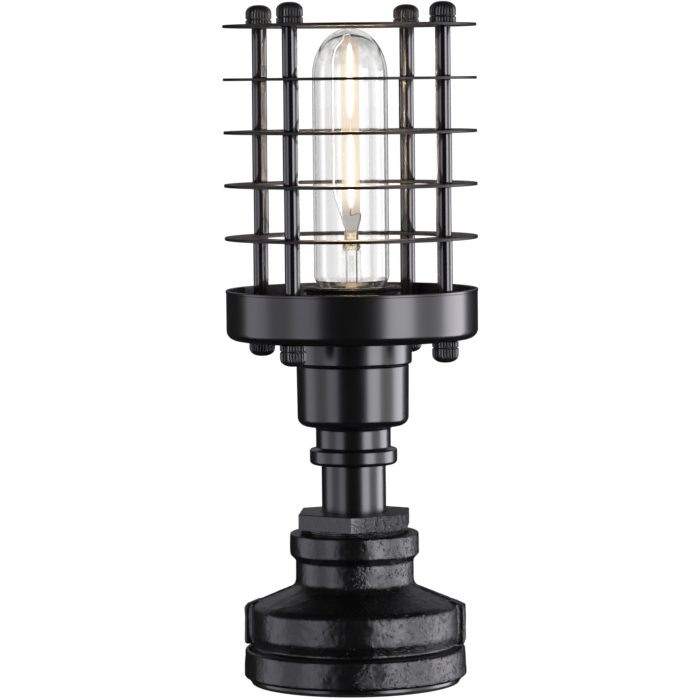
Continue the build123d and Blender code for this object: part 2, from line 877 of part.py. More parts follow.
parts = {
    "base_pad": base_pad(),
    "base_plate": base_plate(),
    "plate_screws": plate_screws(),
    "reducer_base": reducer_base(),
    "cord_grommet": cord_grommet(),
    "hex_bushing": hex_bushing(),
    "stem_pipe": stem_pipe(),
    "socket_cup": socket_cup(),
    "cup_collar": cup_collar(),
    "pan": pan(),
    "holder_nipple": holder_nipple(),
    "nipple_nuts": nipple_nuts(),
    "holder_cap": holder_cap(),
    "holder_insert": holder_insert(),
    "terminal_screws": terminal_screws(),
    "centre_contact": centre_contact(),
    "screw_shell": screw_shell(),
    "holder_skirt": holder_skirt(),
    "shade_ring": shade_ring(),
    "bulb_tip": bulb_tip(),
    "bulb_insulator": bulb_insulator(),
    "bulb_cap": bulb_cap(),
    "bulb_driver": bulb_driver(),
    "bulb_glass": bulb_glass(),
    "bulb_stem": bulb_stem(),
    "support_wire": support_wire(),
    "lead_wire": lead_wire(),
    "light_stick_upper": light_stick(upper_stick_z),
    "light_stick_lower": light_stick(lower_stick_z),
    "stick_link": stick_link(),
    "terminal_block": terminal_block(),
    "block_screws": block_screws(),
    "lead_right": inner_lead(1),
    "lead_left": inner_lead(-1),
}
for number in range(1, ring_count + 1):
    parts[f"cage_ring_{number}"] = cage_ring(number)
    parts[f"spacer_tubes_{number}"] = spacer_tubes(number)
for corner, angle in corner_angles.items():
    parts[f"tie_rod_{corner}"] = tie_rod(angle)
    seat = Rot(Z=angle) * Pos(rod_circle, 0, 0)
    parts[f"top_nut_{corner}"] = seat * Pos(0, 0, cage_top_z) * cap_nut()
    parts[f"bottom_nut_{corner}"] = seat * Pos(0, 0, pan_z) * Rot(X=180) * cap_nut()

os.makedirs("parts", exist_ok=True)
for name, shape in parts.items():
    if isinstance(shape, list):
        shape = Compound(children=shape)
    export_step(shape, f"parts/{name}.step")
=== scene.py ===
import json
import math

import bmesh
import bpy
import numpy as np
from mathutils import Matrix, Vector, noise


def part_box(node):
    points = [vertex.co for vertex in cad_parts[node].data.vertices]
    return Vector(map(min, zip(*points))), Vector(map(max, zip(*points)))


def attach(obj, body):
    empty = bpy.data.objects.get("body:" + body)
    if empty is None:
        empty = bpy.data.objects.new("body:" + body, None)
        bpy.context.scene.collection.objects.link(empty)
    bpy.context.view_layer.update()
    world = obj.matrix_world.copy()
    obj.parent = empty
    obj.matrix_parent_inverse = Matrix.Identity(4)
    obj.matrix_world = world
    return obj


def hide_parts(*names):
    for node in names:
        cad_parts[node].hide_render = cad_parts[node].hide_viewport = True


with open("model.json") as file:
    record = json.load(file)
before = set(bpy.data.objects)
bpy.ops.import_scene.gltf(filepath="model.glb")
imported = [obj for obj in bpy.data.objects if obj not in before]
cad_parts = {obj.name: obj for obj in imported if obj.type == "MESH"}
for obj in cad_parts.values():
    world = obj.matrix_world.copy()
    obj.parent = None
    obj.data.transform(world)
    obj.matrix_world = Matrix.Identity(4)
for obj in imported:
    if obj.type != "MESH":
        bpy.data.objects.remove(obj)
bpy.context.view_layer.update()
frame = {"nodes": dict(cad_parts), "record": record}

# Sizes in this file are millimetres, and meshes are made in metres.
MM = 0.001

# Angle in degrees over which an edge between faces stays sharp
CREASE = 32.0

# The photograph's camera
CAMERA_AZIMUTH = -12.7
CAMERA_DISTANCE = 1.578
CAMERA_HEIGHT = 0.2530
CAMERA_TILT = 4.12
CAMERA_YAW = 0.038
CAMERA_ROLL = -0.58
LENS = 194.9
SENSOR = 36.0
CLIP_NEAR, CLIP_FAR = 0.05, 50

# Softboxes: azimuth from the camera, + to the picture's right, and half width, both in degrees,
# then top in metres, radiance and tint
SOFTBOXES = {
    "softbox_right_front": (44, 14, 0.8, 5.7, (0.95, 0.93, 1.0)),
    "softbox_right_rear": (107, 16, 0.45, 4.9, (0.95, 0.93, 1.0)),
    "softbox_right_side": (75, 15, 0.45, 1.3, (0.95, 0.93, 1.0)),
    "softbox_left_front": (-43, 12, 0.9, 1.9, (0.90, 0.87, 1.0)),
    "softbox_left_side": (-68, 13, 0.45, 0.8, (0.90, 0.87, 1.0)),
    "softbox_left_rear": (-97, 15, 0.45, 1.6, (0.90, 0.87, 1.0)),
}
SOFTBOX_DISTANCE, SOFTBOX_LOW = 2.2, -0.8

# Room and floor
ROOM_GLOSS, ROOM_FILL, ROOM_WHITE = 0.024, 0.30, 1.1
BACKDROP_WAY, BACKDROP_SPAN = (0.22, 0.976, 0.0), (0.35, 0.75)
BACKDROP_FOOT, BACKDROP_TOP = (0.10, 0.28), (0.38, 0.66)
BACKDROP_GLOSS, BACKDROP_TINT = 0.36, (0.93, 0.91, 1)
FLOOR_SIDE, FLOOR_WHITE, FLOOR_SEEN = 30.0, 1.17, 0.86

# Finishes: each one's darker and lighter colour
SATIN_BLACK = (0.004, 0.004, 0.0046), (0.0065, 0.0065, 0.007)
RING_BLACK = (0.004, 0.004, 0.0046), (0.0075, 0.0075, 0.008)
GLOSS_BLACK = (0.005, 0.005, 0.0055), (0.009, 0.009, 0.0095)
KNURL_BLACK = (0.008, 0.008, 0.0085), (0.020, 0.020, 0.0205)
CASTING_BLACK = (0.0018, 0.0018, 0.002), (0.0045, 0.0044, 0.0045)
BUSHING_BLACK = (0.006, 0.006, 0.0064), (0.012, 0.012, 0.012)
SKIRT_BLACK = (0.010, 0.0095, 0.009), (0.02, 0.018, 0.017)
FELT_BLACK = (0.012, 0.012, 0.012), (0.03, 0.03, 0.03)
FLOOR_GREY = (0.80, 0.80, 0.80), (0.82, 0.82, 0.82)
SANDY_WAY, SANDY_LOW, SANDY_HIGH = (0.976, -0.22, 0.0), -22, 34

# Casting
GROOVE_Z, BODY_Z, BODY_TOP_Z = 14.7, 19.8, 32.7
NECK_TOP_Z, BAND_FOOT_Z = 51.666, 54.066
BODY_RADIUS, NECK_RADIUS, TOP_BAND_RADIUS = 43.4, 24.75, 27.0
BAND_DRAFT, BAND_EDGE, GROOVE_DEPTH, GROOVE_RISE, BODY_RISE = 0.5, 1.2, 1.7, 0.5, 0.6
BODY_FOOT_ROUND, BODY_TOP_ROUND, NECK_ROUND = 5.0, 4.0, 4.5
CAST_ROUND, TOP_EDGE, BORE_CHAMFER = 0.8, 0.9, 0.8
MOUTH_BORE, MOUTH_DEPTH, BODY_WALL, SHOULDER_WALL = 35.5, 20.0, 6.4, 5.0
SHOULDER_SLOPE = 23.0
TOP_BORE, CAVITY_NECK, THREAD_FOOT_Z = 20.85, 19.8, 45.6
RIB_ANGLE, RIB_RADIUS, RIB_WIDTH, RIB_FOOT_Z, RIB_EDGE = -17.1, 46.2, 10.4, 16.4, 1.0
FIN_WIDTH, FIN_PROUD, FIN_ROOT = 2.0, 0.6, 2.0
INLET_RADIUS, SPOT_RADIUS, SPOT_Y, DRILL_PAST = 5.0, 7.3, 42.4, 2.0
CASTING_SEGMENTS, CASTING_VOXEL, CASTING_CREASE = 256, 0.55, 60
SKIN_LUMPS = ((14, 0.18), (5.0, 0.12), (1.8, 0.06))
SKIN_IN, SKIN_OUT, SKIN_FADE, BORE_MARGIN = -0.35, 0.3, 0.8, 1.0

# Pipe, cup, collar and pan
PIPE_WALL, PIPE_EDGE, PIPE_FIT = 2.7, 0.4, 0.1
CUP_WALL, CUP_FLOOR, CUP_NIPPLE_BORE = 1.5, 2.2, 5.05
CUP_BAND_RADIUS, CUP_BAND_TOP_Z, CUP_NECK_RADIUS, CUP_FOOT_Z = 18.3, 98.266, 15.65, 107.866
CUP_BAND_FOOT_ROUND, CUP_BAND_TOP_ROUND = 1.8, 0.9
CUP_NECK_FOOT_ROUND, CUP_NECK_TOP_ROUND = 1.0, 1.9
CUP_RADIUS, CUP_FLARE, CUP_CORNER, CUP_TOP_ROUND, CUP_LIP_ROUND = 23.2, 0.3, 6.3, 1.1, 0.4
COLLAR_BORE, COLLAR_FOOT_ROUND, COLLAR_EDGE = 20.7, 1.3, 0.15
SPIGOT, SPIGOT_FIT, SPIGOT_EDGE = 3.0, 0.2, 0.3
PAN_RADIUS, PAN_CORNER, PAN_SHEET = 52.5, 4.0, 1.0
PAN_LIP, PAN_LIP_PROUD, PAN_LIP_STEP, PAN_LIP_EDGE = 1.1, 0.2, 0.2, 0.4
BASE_EDGE, PLATE_EDGE, WIDE_SEGMENTS = 0.2, 0.15, 288

# Cage
RINGS = 5
RING_HOLE, RING_INNER_EDGE, RING_OUTER_EDGE = 38.6, 0.12, 0.15
ROD_CIRCLE, ROD_HOLE, ROD_HOLE_PAST = 45.2, 2.15, 1.0
SPACER_RADIUS, SPACER_WALL, SPACER_EDGE = 3.175, 0.85, 0.25
SPACER_PLAY, SPACER_LEAN, SPACER_CORNER_LEAN = 0.25, 137, 60
CORNERS = {"front_right": -45, "rear_right": 45, "rear_left": 135, "front_left": 225}

# Cap nuts
NUT_RADIUS, NUT_FLANGE, NUT_GROOVE, NUT_GROOVE_DEPTH = 5.5, 2.1, 0.8, 0.7
NUT_BODY, NUT_DOME, NUT_BORE, NUT_BORE_DEPTH = 2.3, 3.5, 2.03, 6.2
NUT_EDGE, NUT_WAIST_ROUND, NUT_DOME_FULLNESS, NUT_DOME_STEPS = 0.23, 0.15, 0.8, 10
KNURL_TEETH, KNURL_DEPTH, KNURL_PROUD, KNURL_STEPS, KNURL_CREASE = 26, 0.62, 0.11, 10, 40

# Lampholder's skirt
SKIRT_BORE, SKIRT_MOUTH, SKIRT_MOUTH_DEPTH, SKIRT_EDGE = 14.6, 16.4, 3.0, 0.4
SKIRT_THREAD_DEPTH, SKIRT_THREAD_PITCH, SKIRT_ROOT_ROUND = 1.1, 2.5, 0.3
SKIRT_RIDGE_FOOT, SKIRT_RIDGE_LOW, SKIRT_RIDGE_HIGH = 0.25, 1.0, 1.75

# Bulb's glass and stem
GLASS_WALL, GLASS_NECK, GLASS_NECK_DEPTH = 0.8, 12.4, 3.0
GLASS_TAPER_RADIUS, GLASS_TAPER_LOW, GLASS_TAPER_HEIGHT = 13.5, 4.5, 4.1
GLASS_DOME, GLASS_DOME_STEPS, GLASS_SEGMENTS = 19.9, 28, 160
FLARE_RADIUS, FLARE_HEIGHT, FLARE_ROUND, FLARE_EDGE = 11.3, 5.5, 4.0, 0.3
FLARE_LIP_RISE, FLARE_LIP_ROUND = 0.16, 0.2
STEM_RADIUS, STEM_WALL, STEM_CONE, STEM_CONE_ROUND = 4.5, 0.8, 3.5, 3.0
STEM_TIP_RADIUS, STEM_TIP_ROUND, STEM_TIP_RISE = 2.2, 1.5, 0.3
STEM_TIP_BORE, STEM_TIP_BORE_ROUND = 1.5, 0.8
EXHAUST_RADIUS, EXHAUST_WALL, EXHAUST_GAP = 0.95, 0.35, 1.0
PRESS_WIDTH, PRESS_THICK, PRESS_HEIGHT = 6.0, 2.4, 6.0
PRESS_FULLNESS, PRESS_SIDES, PRESS_CREASE = 0.6, 32, 50
# Rows of the press: share of its height, and shares of its width and thickness there
PRESS_ROWS = (
    (-0.42, 0.95, 2.4), (-0.24, 1.30, 2.3), (-0.08, 1.26, 1.9), (0.08, 0.95, 1.4),
    (0.5, 1, 1), (0.85, 0.98, 0.95), (1, 0.86, 0.7),
)

# Painted reflections and shade in the glass: grey bands and dark rim by Layer Weight, and the dome's
# painted shade by height in radii below its top
GLASS_INDEX, GLASS_RIPPLE = 1.5, 0.004
BAND_START, BAND_END, BAND_PAINTED_REFLECTION = (0.05, 0.10), (0.27, 0.32), (0.62, 0.617, 0.613)
EDGE_BAND, RIM_SPAN, RIM_PAINTED_SHADE = (0.36, 0.40), (0.60, 0.95), (0.60, 0.60, 0.60)
DOME_PAINTED_SHADE, DOME_SHADE_LOW, DOME_SHADE_HIGH = (0.40, 0.398, 0.392), 1.25, 0.5

# Light sticks, and painted glows round them and in the flare, which are no lamps. A glow's look
# is its colour at the rim and at the heart, its cover, and where its rim begins and ends
STICK_RADIUS, STICK_END, STICK_COLOUR, STICK_STRENGTH = 1.25, 8.0, (1.0, 0.80, 0.52), 45.0
STICK_LIGHT, STICK_LIGHT_RADIUS, STICK_LIGHT_COLOUR = 0.040, 13.0, (1.0, 0.68, 0.38)
STICK_LIGHT_SHARES = (0.25, 0.75)
SLEEVE_RADIUS, SLEEVE_END, SLEEVE_REACH, SLEEVE_FOOT = 3.9, 7.0, 3.0, 1.5
SLEEVE_LOOK = (0.63, 0.53, 0.42), (0.82, 0.66, 0.47), 0.47, 0.55, 0.99
# Painted shade that the sleeve's glow dims to below the lower stick's foot, and its reach either side in
# millimetres
SHADE, SHADE_REACH = (0.24, 0.215, 0.19), 5
GLOW_RADIUS, GLOW_END, GLOW_REACH = 3.0, 12.0, 1.5
GLOW_LOOK = (1.0, 0.86, 0.66), (1.3, 1.2, 1.0), 0.80, 0.0, 0.75
FLARE_GLOW_Z, FLARE_GLOW_RADIUS, FLARE_GLOW_HALF = 167.0, 7.6, 1.8
FLARE_GLOW_LOOK = (0.22, 0.18, 0.14), (0.44, 0.34, 0.24), 0.80, 0.0, 0.92
FLARE_SPARK_RADIUS = 2.8
FLARE_SPARK_LOOK = (0.75, 0.50, 0.22), (1.25, 0.88, 0.42), 0.62, 0.0, 0.98
CAPSULE_STEPS, CAPSULE_SIDES, CAPSULE_CREASE = 10, 32, 60

# Wires: x in the sticks' plane, and height above the named place
WIRE_RADIUS, SUPPORT_RADIUS, WIRE_SPREAD = 0.3, 0.42, 2.1
SUPPORT_ABOVE_PRESS = ((-2.1, -6), (-2.1, 0.3), (-2.6, 1.2), (-7.0, 15.5), (-7.3, 18))
SUPPORT_ABOVE_STICKS = (
    (-7.3, -12), (-7.3, -6.5), (-5.6, -1.0), (-2.9, 1.0), (-2.7, 3.0), (0, 4.2), (0, 2), (0, -0.5),
)
LEAD_ABOVE_PRESS = ((2.1, -3), (2.5, 0))
LEAD_ABOVE_STICK_FOOT = (
    (4.1, -4.0), (4.0, -3.0), (2.9, -2.4), (0.2, -3.6), (-0.6, -3.2), (0, -1.4), (0, 0.5),
)
LINK_ABOVE_LOWER_STICK = ((0, -0.6), (0.1, 3))
LINK_ABOVE_UPPER_FOOT = ((0, 0.6),)


class Value:
    """Shader socket that takes part in Python sums."""

    def __init__(self, finish, socket):
        self.finish, self.socket = finish, socket

    def _sum(self, operation, *terms):
        node = self.finish.node("ShaderNodeMath", {"operation": operation}, dict(enumerate(terms)))
        return Value(self.finish, node.outputs[0])

    def __add__(self, other):
        return self._sum("ADD", self, other)

    def __mul__(self, other):
        return self._sum("MULTIPLY", self, other)

    def __sub__(self, other):
        return self._sum("SUBTRACT", self, other)

    def __rsub__(self, other):
        return self._sum("SUBTRACT", other, self)

    __radd__, __rmul__ = __add__, __mul__

    def between(self, low, high):
        """0 below low, 1 above high, smooth in between."""
        node = self.finish.node(
            "ShaderNodeMapRange", {"interpolation_type": "SMOOTHSTEP"},
            {"Value": self, "From Min": low, "From Max": high},
        )
        return Value(self.finish, node.outputs[0])


class Finish:
    """Node tree of a material or of the world."""

    def __init__(self, owner):
        self.owner = owner
        owner.use_nodes = True
        self.tree = owner.node_tree
        self.tree.nodes.clear()

    def node(self, kind, settings=None, inputs=None):
        """New node, with its settings set before the values and links of its sockets."""
        made = self.tree.nodes.new(kind)
        for key, value in (settings or {}).items():
            setattr(made, key, value)
        for key, value in (inputs or {}).items():
            socket = made.inputs[key]
            if isinstance(value, Value):
                self.tree.links.new(value.socket, socket)
            elif isinstance(value, bpy.types.NodeSocket):
                self.tree.links.new(value, socket)
            elif hasattr(value, "__len__") and len(value) == 3 and socket.type == "RGBA":
                socket.default_value = (*value, 1.0)
            else:
                socket.default_value = value
        return made

    def place(self, stretch=(1, 1, 1)):
        """Position on the piece in metres, stretched along each axis."""
        where = self.node("ShaderNodeTexCoord").outputs["Object"]
        return self.node("ShaderNodeMapping", {}, {"Vector": where, "Scale": stretch}).outputs[0]

    def grain(self, size, detail=2.0, rough=0.5, stretch=(1, 1, 1)):
        """Noise whose lumps are about size millimetres across."""
        made = self.node("ShaderNodeTexNoise", {}, {
            "Vector": self.place(stretch), "Scale": 1 / (size * MM), "Detail": detail, "Roughness": rough,
        })
        return Value(self, made.outputs["Fac"])

    def height(self):
        """Height on the piece in metres."""
        where = self.node("ShaderNodeTexCoord").outputs["Object"]
        return Value(self, self.node("ShaderNodeSeparateXYZ", {}, {0: where}).outputs["Z"])

    def sandy_side(self):
        """0 on one side of the lamp's axis, rising to 1 on the other, where the sand was coarser."""
        where = self.node("ShaderNodeTexCoord").outputs["Object"]
        side = self.node("ShaderNodeVectorMath", {"operation": "DOT_PRODUCT"}, {0: where, 1: SANDY_WAY})
        return Value(self, side.outputs["Value"]).between(SANDY_LOW * MM, SANDY_HIGH * MM)

    def blend(self, first, second, share):
        """Colour between two, by share."""
        made = self.node("ShaderNodeMix", {"data_type": "RGBA"}, {0: share, 6: first, 7: second})
        return made.outputs[2]

    def bump(self, height, depth):
        """Normal from a height of 0 to 1 that stands for depth millimetres."""
        inputs = {"Height": height, "Distance": depth * MM, "Strength": 1.0}
        return self.node("ShaderNodeBump", {}, inputs).outputs[0]

    def surface(self, **inputs):
        """Principled surface; a socket's name is given with _ for its spaces."""
        named = {key.replace("_", " "): value for key, value in inputs.items()}
        shader = self.node("ShaderNodeBsdfPrincipled", {}, named)
        self.finish_with(shader)
        return self.owner

    def finish_with(self, shader, kind="ShaderNodeOutputMaterial"):
        self.node(kind, {}, {"Surface": shader.outputs[0]})


def new_finish(name):
    return Finish(bpy.data.materials.new(name))


def satin_black():
    """Satin black paint on turned and spun steel, with a fine orange peel."""
    f = new_finish("satin_black")
    dust = f.grain(9, 3, 0.6)
    peel = f.grain(0.9, 2, 0.5)
    return f.surface(
        Base_Color=f.blend(*SATIN_BLACK, dust), Roughness=0.26 + 0.08 * dust,
        Coat_Weight=0.65, Coat_Roughness=0.20, Normal=f.bump(peel, 0.004),
    )


def ring_black():
    """Drier black on the flat rings."""
    f = new_finish("ring_black")
    dust = f.grain(7, 3, 0.6)
    return f.surface(
        Base_Color=f.blend(*RING_BLACK, dust),
        Roughness=0.42 + 0.10 * dust, Specular_IOR_Level=0.34, Coat_Weight=0.12, Coat_Roughness=0.30,
        Normal=f.bump(f.grain(0.8), 0.003),
    )


def gloss_black():
    """Glossier black on the spacer tubes."""
    f = new_finish("gloss_black")
    cloud = f.grain(6, 3, 0.6)
    dust = f.grain(1.4, 3, 0.6)
    return f.surface(
        Base_Color=f.blend(*GLOSS_BLACK, dust),
        Roughness=0.13 + 0.05 * cloud, Coat_Weight=0.8, Coat_Roughness=0.07,
        Normal=f.bump(dust, 0.0003),
    )


def knurl_black():
    """Black on the knurled nuts, dry in the grooves and rubbed on the crests."""
    f = new_finish("knurl_black")
    dust = f.grain(0.7, 3, 0.6)
    rubbed = f.grain(2.2, 2, 0.5).between(0.45, 0.7)
    return f.surface(
        Base_Color=f.blend(*KNURL_BLACK, dust),
        Roughness=0.38 - 0.14 * rubbed, Coat_Weight=0.45, Coat_Roughness=0.18,
        Normal=f.bump(dust, 0.02),
    )


def casting_paint():
    """Black paint over a sand-cast skin: pits, pimples and runs, sandier to one side."""
    f = new_finish("casting_paint")
    sand = f.grain(0.9, 4, 0.7)
    patches = (f.grain(11, 3, 0.6) + f.sandy_side() * 0.42).between(0.56, 0.86)
    pits = f.grain(2.6, 2, 0.5).between(0.60, 0.72)
    pimples = f.grain(1.7, 1, 0.4).between(0.60, 0.70)
    height = sand * (0.12 + 0.8 * patches) + pimples * patches * 0.8 - pits * (0.15 + 0.6 * patches)
    return f.surface(
        Base_Color=f.blend(*CASTING_BLACK, sand), Roughness=0.31 - 0.08 * patches, Specular_IOR_Level=0.80,
        Normal=f.bump(height, 0.24),
    )


def bushing_paint():
    """Black paint on the forged hexagon, grainy on its flats."""
    f = new_finish("bushing_paint")
    sand = f.grain(0.7, 4, 0.7)
    dents = f.grain(1.8, 2, 0.5).between(0.50, 0.66)
    rough = 0.08 + 0.92 * f.sandy_side().between(0.22, 0.60)
    return f.surface(
        Base_Color=f.blend(*BUSHING_BLACK, sand),
        Roughness=0.32 - 0.08 * sand, Specular_IOR_Level=1.0,
        Normal=f.bump((sand - dents * 0.7) * rough, 0.60),
    )


def pad_felt():
    """Dark felt pad."""
    f = new_finish("pad_felt")
    fibre = f.grain(0.5, 4, 0.7)
    return f.surface(
        Base_Color=f.blend(*FELT_BLACK, fibre), Roughness=0.85,
        Normal=f.bump(fibre, 0.08),
    )


def skirt_black():
    """Moulded black of the lampholder's skirt, polished by its mould."""
    f = new_finish("skirt_black")
    cloud = f.grain(3, 3, 0.6)
    return f.surface(
        Base_Color=f.blend(*SKIRT_BLACK, cloud),
        Roughness=0.20 + 0.12 * cloud, Normal=f.bump(f.grain(0.8), 0.01),
    )


def metal(name, first, second, roughness, size=1.2):
    """Bare or plated metal with a slight cloud in its colour and gloss."""
    f = new_finish(name)
    cloud = f.grain(size, 3, 0.55)
    return f.surface(
        Base_Color=f.blend(first, second, cloud), Metallic=1.0,
        Roughness=roughness * 0.8 + roughness * 0.4 * cloud, Normal=f.bump(cloud, 0.01),
    )


def moulded(name, first, second, roughness):
    """Moulded plastic, rubber or glazed ceramic."""
    f = new_finish(name)
    cloud = f.grain(2.0, 3, 0.55)
    fine = f.grain(1 / 3, 2, 0.5)
    return f.surface(
        Base_Color=f.blend(first, second, cloud), Roughness=roughness * 0.85 + roughness * 0.3 * fine,
        Normal=f.bump(fine, 0.02),
    )


def envelope_glass():
    """Clear drawn tube, with painted grey bands and dark rims for the room's reflections in it, and painted
    shade on its dome.
    """
    f = new_finish("clear_glass")
    wave = f.grain(14, 1, 0.4, (1, 1, 0.25))
    drawn = f.grain(5, 1, 0.5, (1, 1, 0.03)).between(0.35, 0.60)
    curl = f.grain(7, 2, 0.6, (1, 1, 0.5)).between(0.44, 0.62)
    facing = Value(f, f.node("ShaderNodeLayerWeight", {}, {"Blend": 0.5}).outputs["Facing"])
    entering = 1 - Value(f, f.node("ShaderNodeNewGeometry").outputs["Backfacing"])
    top, radius = high("bulb_glass") * MM, reach("bulb_glass") * MM
    # Painted shade on the dome by height below its top; painted reflections as grey bands and dark rims by
    # Layer Weight
    dome = f.height().between(top - DOME_SHADE_LOW * radius, top - DOME_SHADE_HIGH * radius)
    painted_bands = facing.between(*BAND_START) * (1 - facing.between(*BAND_END)) * (0.5 + 0.3 * drawn)
    painted_grey = (painted_bands + facing.between(*EDGE_BAND)) * (1 - dome)
    body = f.blend((1, 1, 1), BAND_PAINTED_REFLECTION, entering * painted_grey)
    body = f.blend(body, DOME_PAINTED_SHADE, entering * dome * (0.35 + 0.65 * curl))
    return f.surface(
        Base_Color=f.blend(body, RIM_PAINTED_SHADE, entering * facing.between(*RIM_SPAN)), Roughness=0.0,
        IOR=GLASS_INDEX, Transmission_Weight=1.0, Normal=f.bump(wave, GLASS_RIPPLE),
    )


def inner_glass(name, pale, tint, ripple, size, index):
    """Glass of the stem or its press, with waves of a size in millimetres."""
    f = new_finish(name)
    wave = f.grain(size, 2, 0.5)
    return f.surface(
        Base_Color=f.blend(pale, tint, wave.between(0.4, 0.6)), Roughness=0.0, IOR=index,
        Transmission_Weight=1.0, Normal=f.bump(wave, ripple),
    )


def glowing(name, colour, strength):
    """Lit phosphor, a little uneven along the stick."""
    f = new_finish(name)
    cloud = f.grain(1.5, 2, 0.5)
    lit = f.blend(colour, tuple(0.93 * c for c in colour), cloud)
    return f.surface(
        Base_Color=(0.9, 0.7, 0.4), Roughness=0.5, Emission_Color=lit, Emission_Strength=strength,
    )


def sleeve_glow(name, edge, heart, cover, rim_low, rim_high, dim=None):
    """Painted warm translucent glow, from its heart out to its rim. It may dim to a painted shade between
    two heights.
    """
    f = new_finish(name)
    cloud = f.grain(2.5, 2, 0.5)
    rim = Value(f, f.node("ShaderNodeLayerWeight", {}, {"Blend": 0.5}).outputs["Facing"])
    body = 1 - rim.between(rim_low, rim_high)
    colour = f.blend(edge, heart, body)
    if dim is not None:
        colour = f.blend(SHADE, colour, f.height().between(dim[0] * MM, dim[1] * MM))
    return f.surface(
        Base_Color=(0.02, 0.015, 0.01), Roughness=0.6, Specular_IOR_Level=0.0,
        Alpha=body * (cover + 0.04 * cloud), Emission_Color=colour, Emission_Strength=1.0,
    )


def floor_finish():
    """Pale floor that the camera and glass see as white, with the object's faint shadow."""
    f = new_finish("floor_finish")
    path = f.node("ShaderNodeLightPath")
    cloud = f.grain(300, 2, 0.5)
    matte = f.node("ShaderNodeBsdfDiffuse", {}, {
        "Color": f.blend(*FLOOR_GREY, cloud), "Roughness": 0.9,
    })
    white = f.node("ShaderNodeEmission", {}, {"Color": (1, 1, 1), "Strength": FLOOR_WHITE})
    seen = Value(f, path.outputs["Is Camera Ray"]) + Value(f, path.outputs["Is Transmission Ray"])
    seen = seen * FLOOR_SEEN
    f.finish_with(f.node("ShaderNodeMixShader", {}, {0: seen, 1: matte.outputs[0], 2: white.outputs[0]}))
    return f.owner


def low(node):
    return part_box(node)[0].z / MM


def high(node):
    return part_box(node)[1].z / MM


def reach(node):
    """Radius of a turned node about the lamp's axis."""
    first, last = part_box(node)
    return (last.x - first.x) / 2 / MM


def rounded(corners, step=7.0):
    """Points of a closed outline. A corner's third number rounds it."""
    points = []
    for number, corner in enumerate(corners):
        here = Vector(corner[:2])
        back = Vector(corners[number - 1][:2]) - here
        ahead = Vector(corners[(number + 1) % len(corners)][:2]) - here
        if len(corner) < 3 or back.length * ahead.length == 0:
            points.append(here)
            continue
        half = back.angle(ahead) / 2
        run = min(corner[2] / math.tan(half), 0.49 * min(back.length, ahead.length))
        radius = run * math.tan(half)
        middle = (back.normalized() + ahead.normalized()).normalized()
        centre = here + middle * (radius / math.sin(half))
        start = here + back.normalized() * run - centre
        end = here + ahead.normalized() * run - centre
        angle = math.atan2(start.y, start.x)
        turn = (math.atan2(end.y, end.x) - angle + math.pi) % (2 * math.pi) - math.pi
        count = max(2, math.ceil(abs(turn) / math.radians(step)))
        for part in range(count + 1):
            at = angle + turn * part / count
            points.append(centre + radius * Vector((math.cos(at), math.sin(at))))
    return points


def turned(points, segments=192, limit=None, place=None):
    """Mesh data of an outline turned about Z. A limit cuts its radius by angle."""
    profile = np.array([tuple(p) for p in points])
    angles = 2 * np.pi * np.arange(segments) / segments
    radii = np.repeat(profile[None, :, 0], segments, axis=0)
    if limit is not None:
        radii = np.minimum(radii, np.array([limit(a) for a in angles])[:, None])
    verts = np.stack([
        radii * np.cos(angles)[:, None], radii * np.sin(angles)[:, None],
        np.repeat(profile[None, :, 1], segments, axis=0),
    ], axis=-1).reshape(-1, 3)
    count = len(profile)
    faces = [
        (a * count + i, b * count + i, b * count + j, a * count + j)
        for a, b in ((s, (s + 1) % segments) for s in range(segments))
        for i, j in ((p, (p + 1) % count) for p in range(count))
    ]
    return moved((verts, faces), place)


def moved(form, place):
    verts, faces = form
    if place is None:
        return form
    m = np.array(place)
    return verts @ m[:3, :3].T + m[:3, 3], faces


def prism(points, width, angle):
    """Mesh data of a radial outline made width thick, turned to an angle."""
    count = len(points)
    verts = [(p[0], side * width / 2, p[1]) for side in (-1, 1) for p in points]
    faces = [tuple(range(count)), tuple(range(2 * count - 1, count - 1, -1))]
    faces += [(i, (i + 1) % count, count + (i + 1) % count, count + i) for i in range(count)]
    return moved((np.array(verts, float), faces), Matrix.Rotation(math.radians(angle), 4, "Z"))


def solid(name, forms, crease=CREASE):
    """Object made of one or more closed forms in millimetres."""
    verts, faces, offset = [], [], 0
    for form_verts, form_faces in forms:
        verts.append(form_verts)
        faces += [tuple(i + offset for i in face) for face in form_faces]
        offset += len(form_verts)
    mesh = bpy.data.meshes.new(name)
    mesh.from_pydata((np.concatenate(verts) * MM).tolist(), [], faces)
    welded = bmesh.new()
    welded.from_mesh(mesh)
    bmesh.ops.remove_doubles(welded, verts=welded.verts, dist=1e-6)
    bmesh.ops.dissolve_degenerate(welded, edges=welded.edges, dist=1e-7)
    bmesh.ops.recalc_face_normals(welded, faces=welded.faces)
    welded.to_mesh(mesh)
    welded.free()
    made = bpy.data.objects.new(name, mesh)
    bpy.context.scene.collection.objects.link(made)
    shade(made, crease)
    return made


def shade(made, crease=CREASE):
    made.data.shade_smooth()
    made.data.set_sharp_from_angle(angle=math.radians(crease))


def baked(made, modifier, **settings):
    """Applies one modifier to the object's mesh."""
    added = made.modifiers.new(modifier, modifier)
    for key, value in settings.items():
        setattr(added, key, value)
    bpy.context.view_layer.update()
    graph = bpy.context.evaluated_depsgraph_get()
    mesh = bpy.data.meshes.new_from_object(made.evaluated_get(graph))
    made.modifiers.clear()
    old, made.data = made.data, mesh
    bpy.data.meshes.remove(old)
    return made


def drilled(made, forms):
    """Cuts closed forms out of an object."""
    tool = solid("drill", forms)
    baked(made, "BOOLEAN", operation="DIFFERENCE", object=tool, solver="EXACT")
    mesh = tool.data
    bpy.data.objects.remove(tool)
    bpy.data.meshes.remove(mesh)
    return made


def plug(radius, bottom, top, place=None, segments=64):
    """Solid cylinder, as mesh data."""
    return turned([(0, bottom), (radius, bottom), (radius, top), (0, top)], segments, None, place)


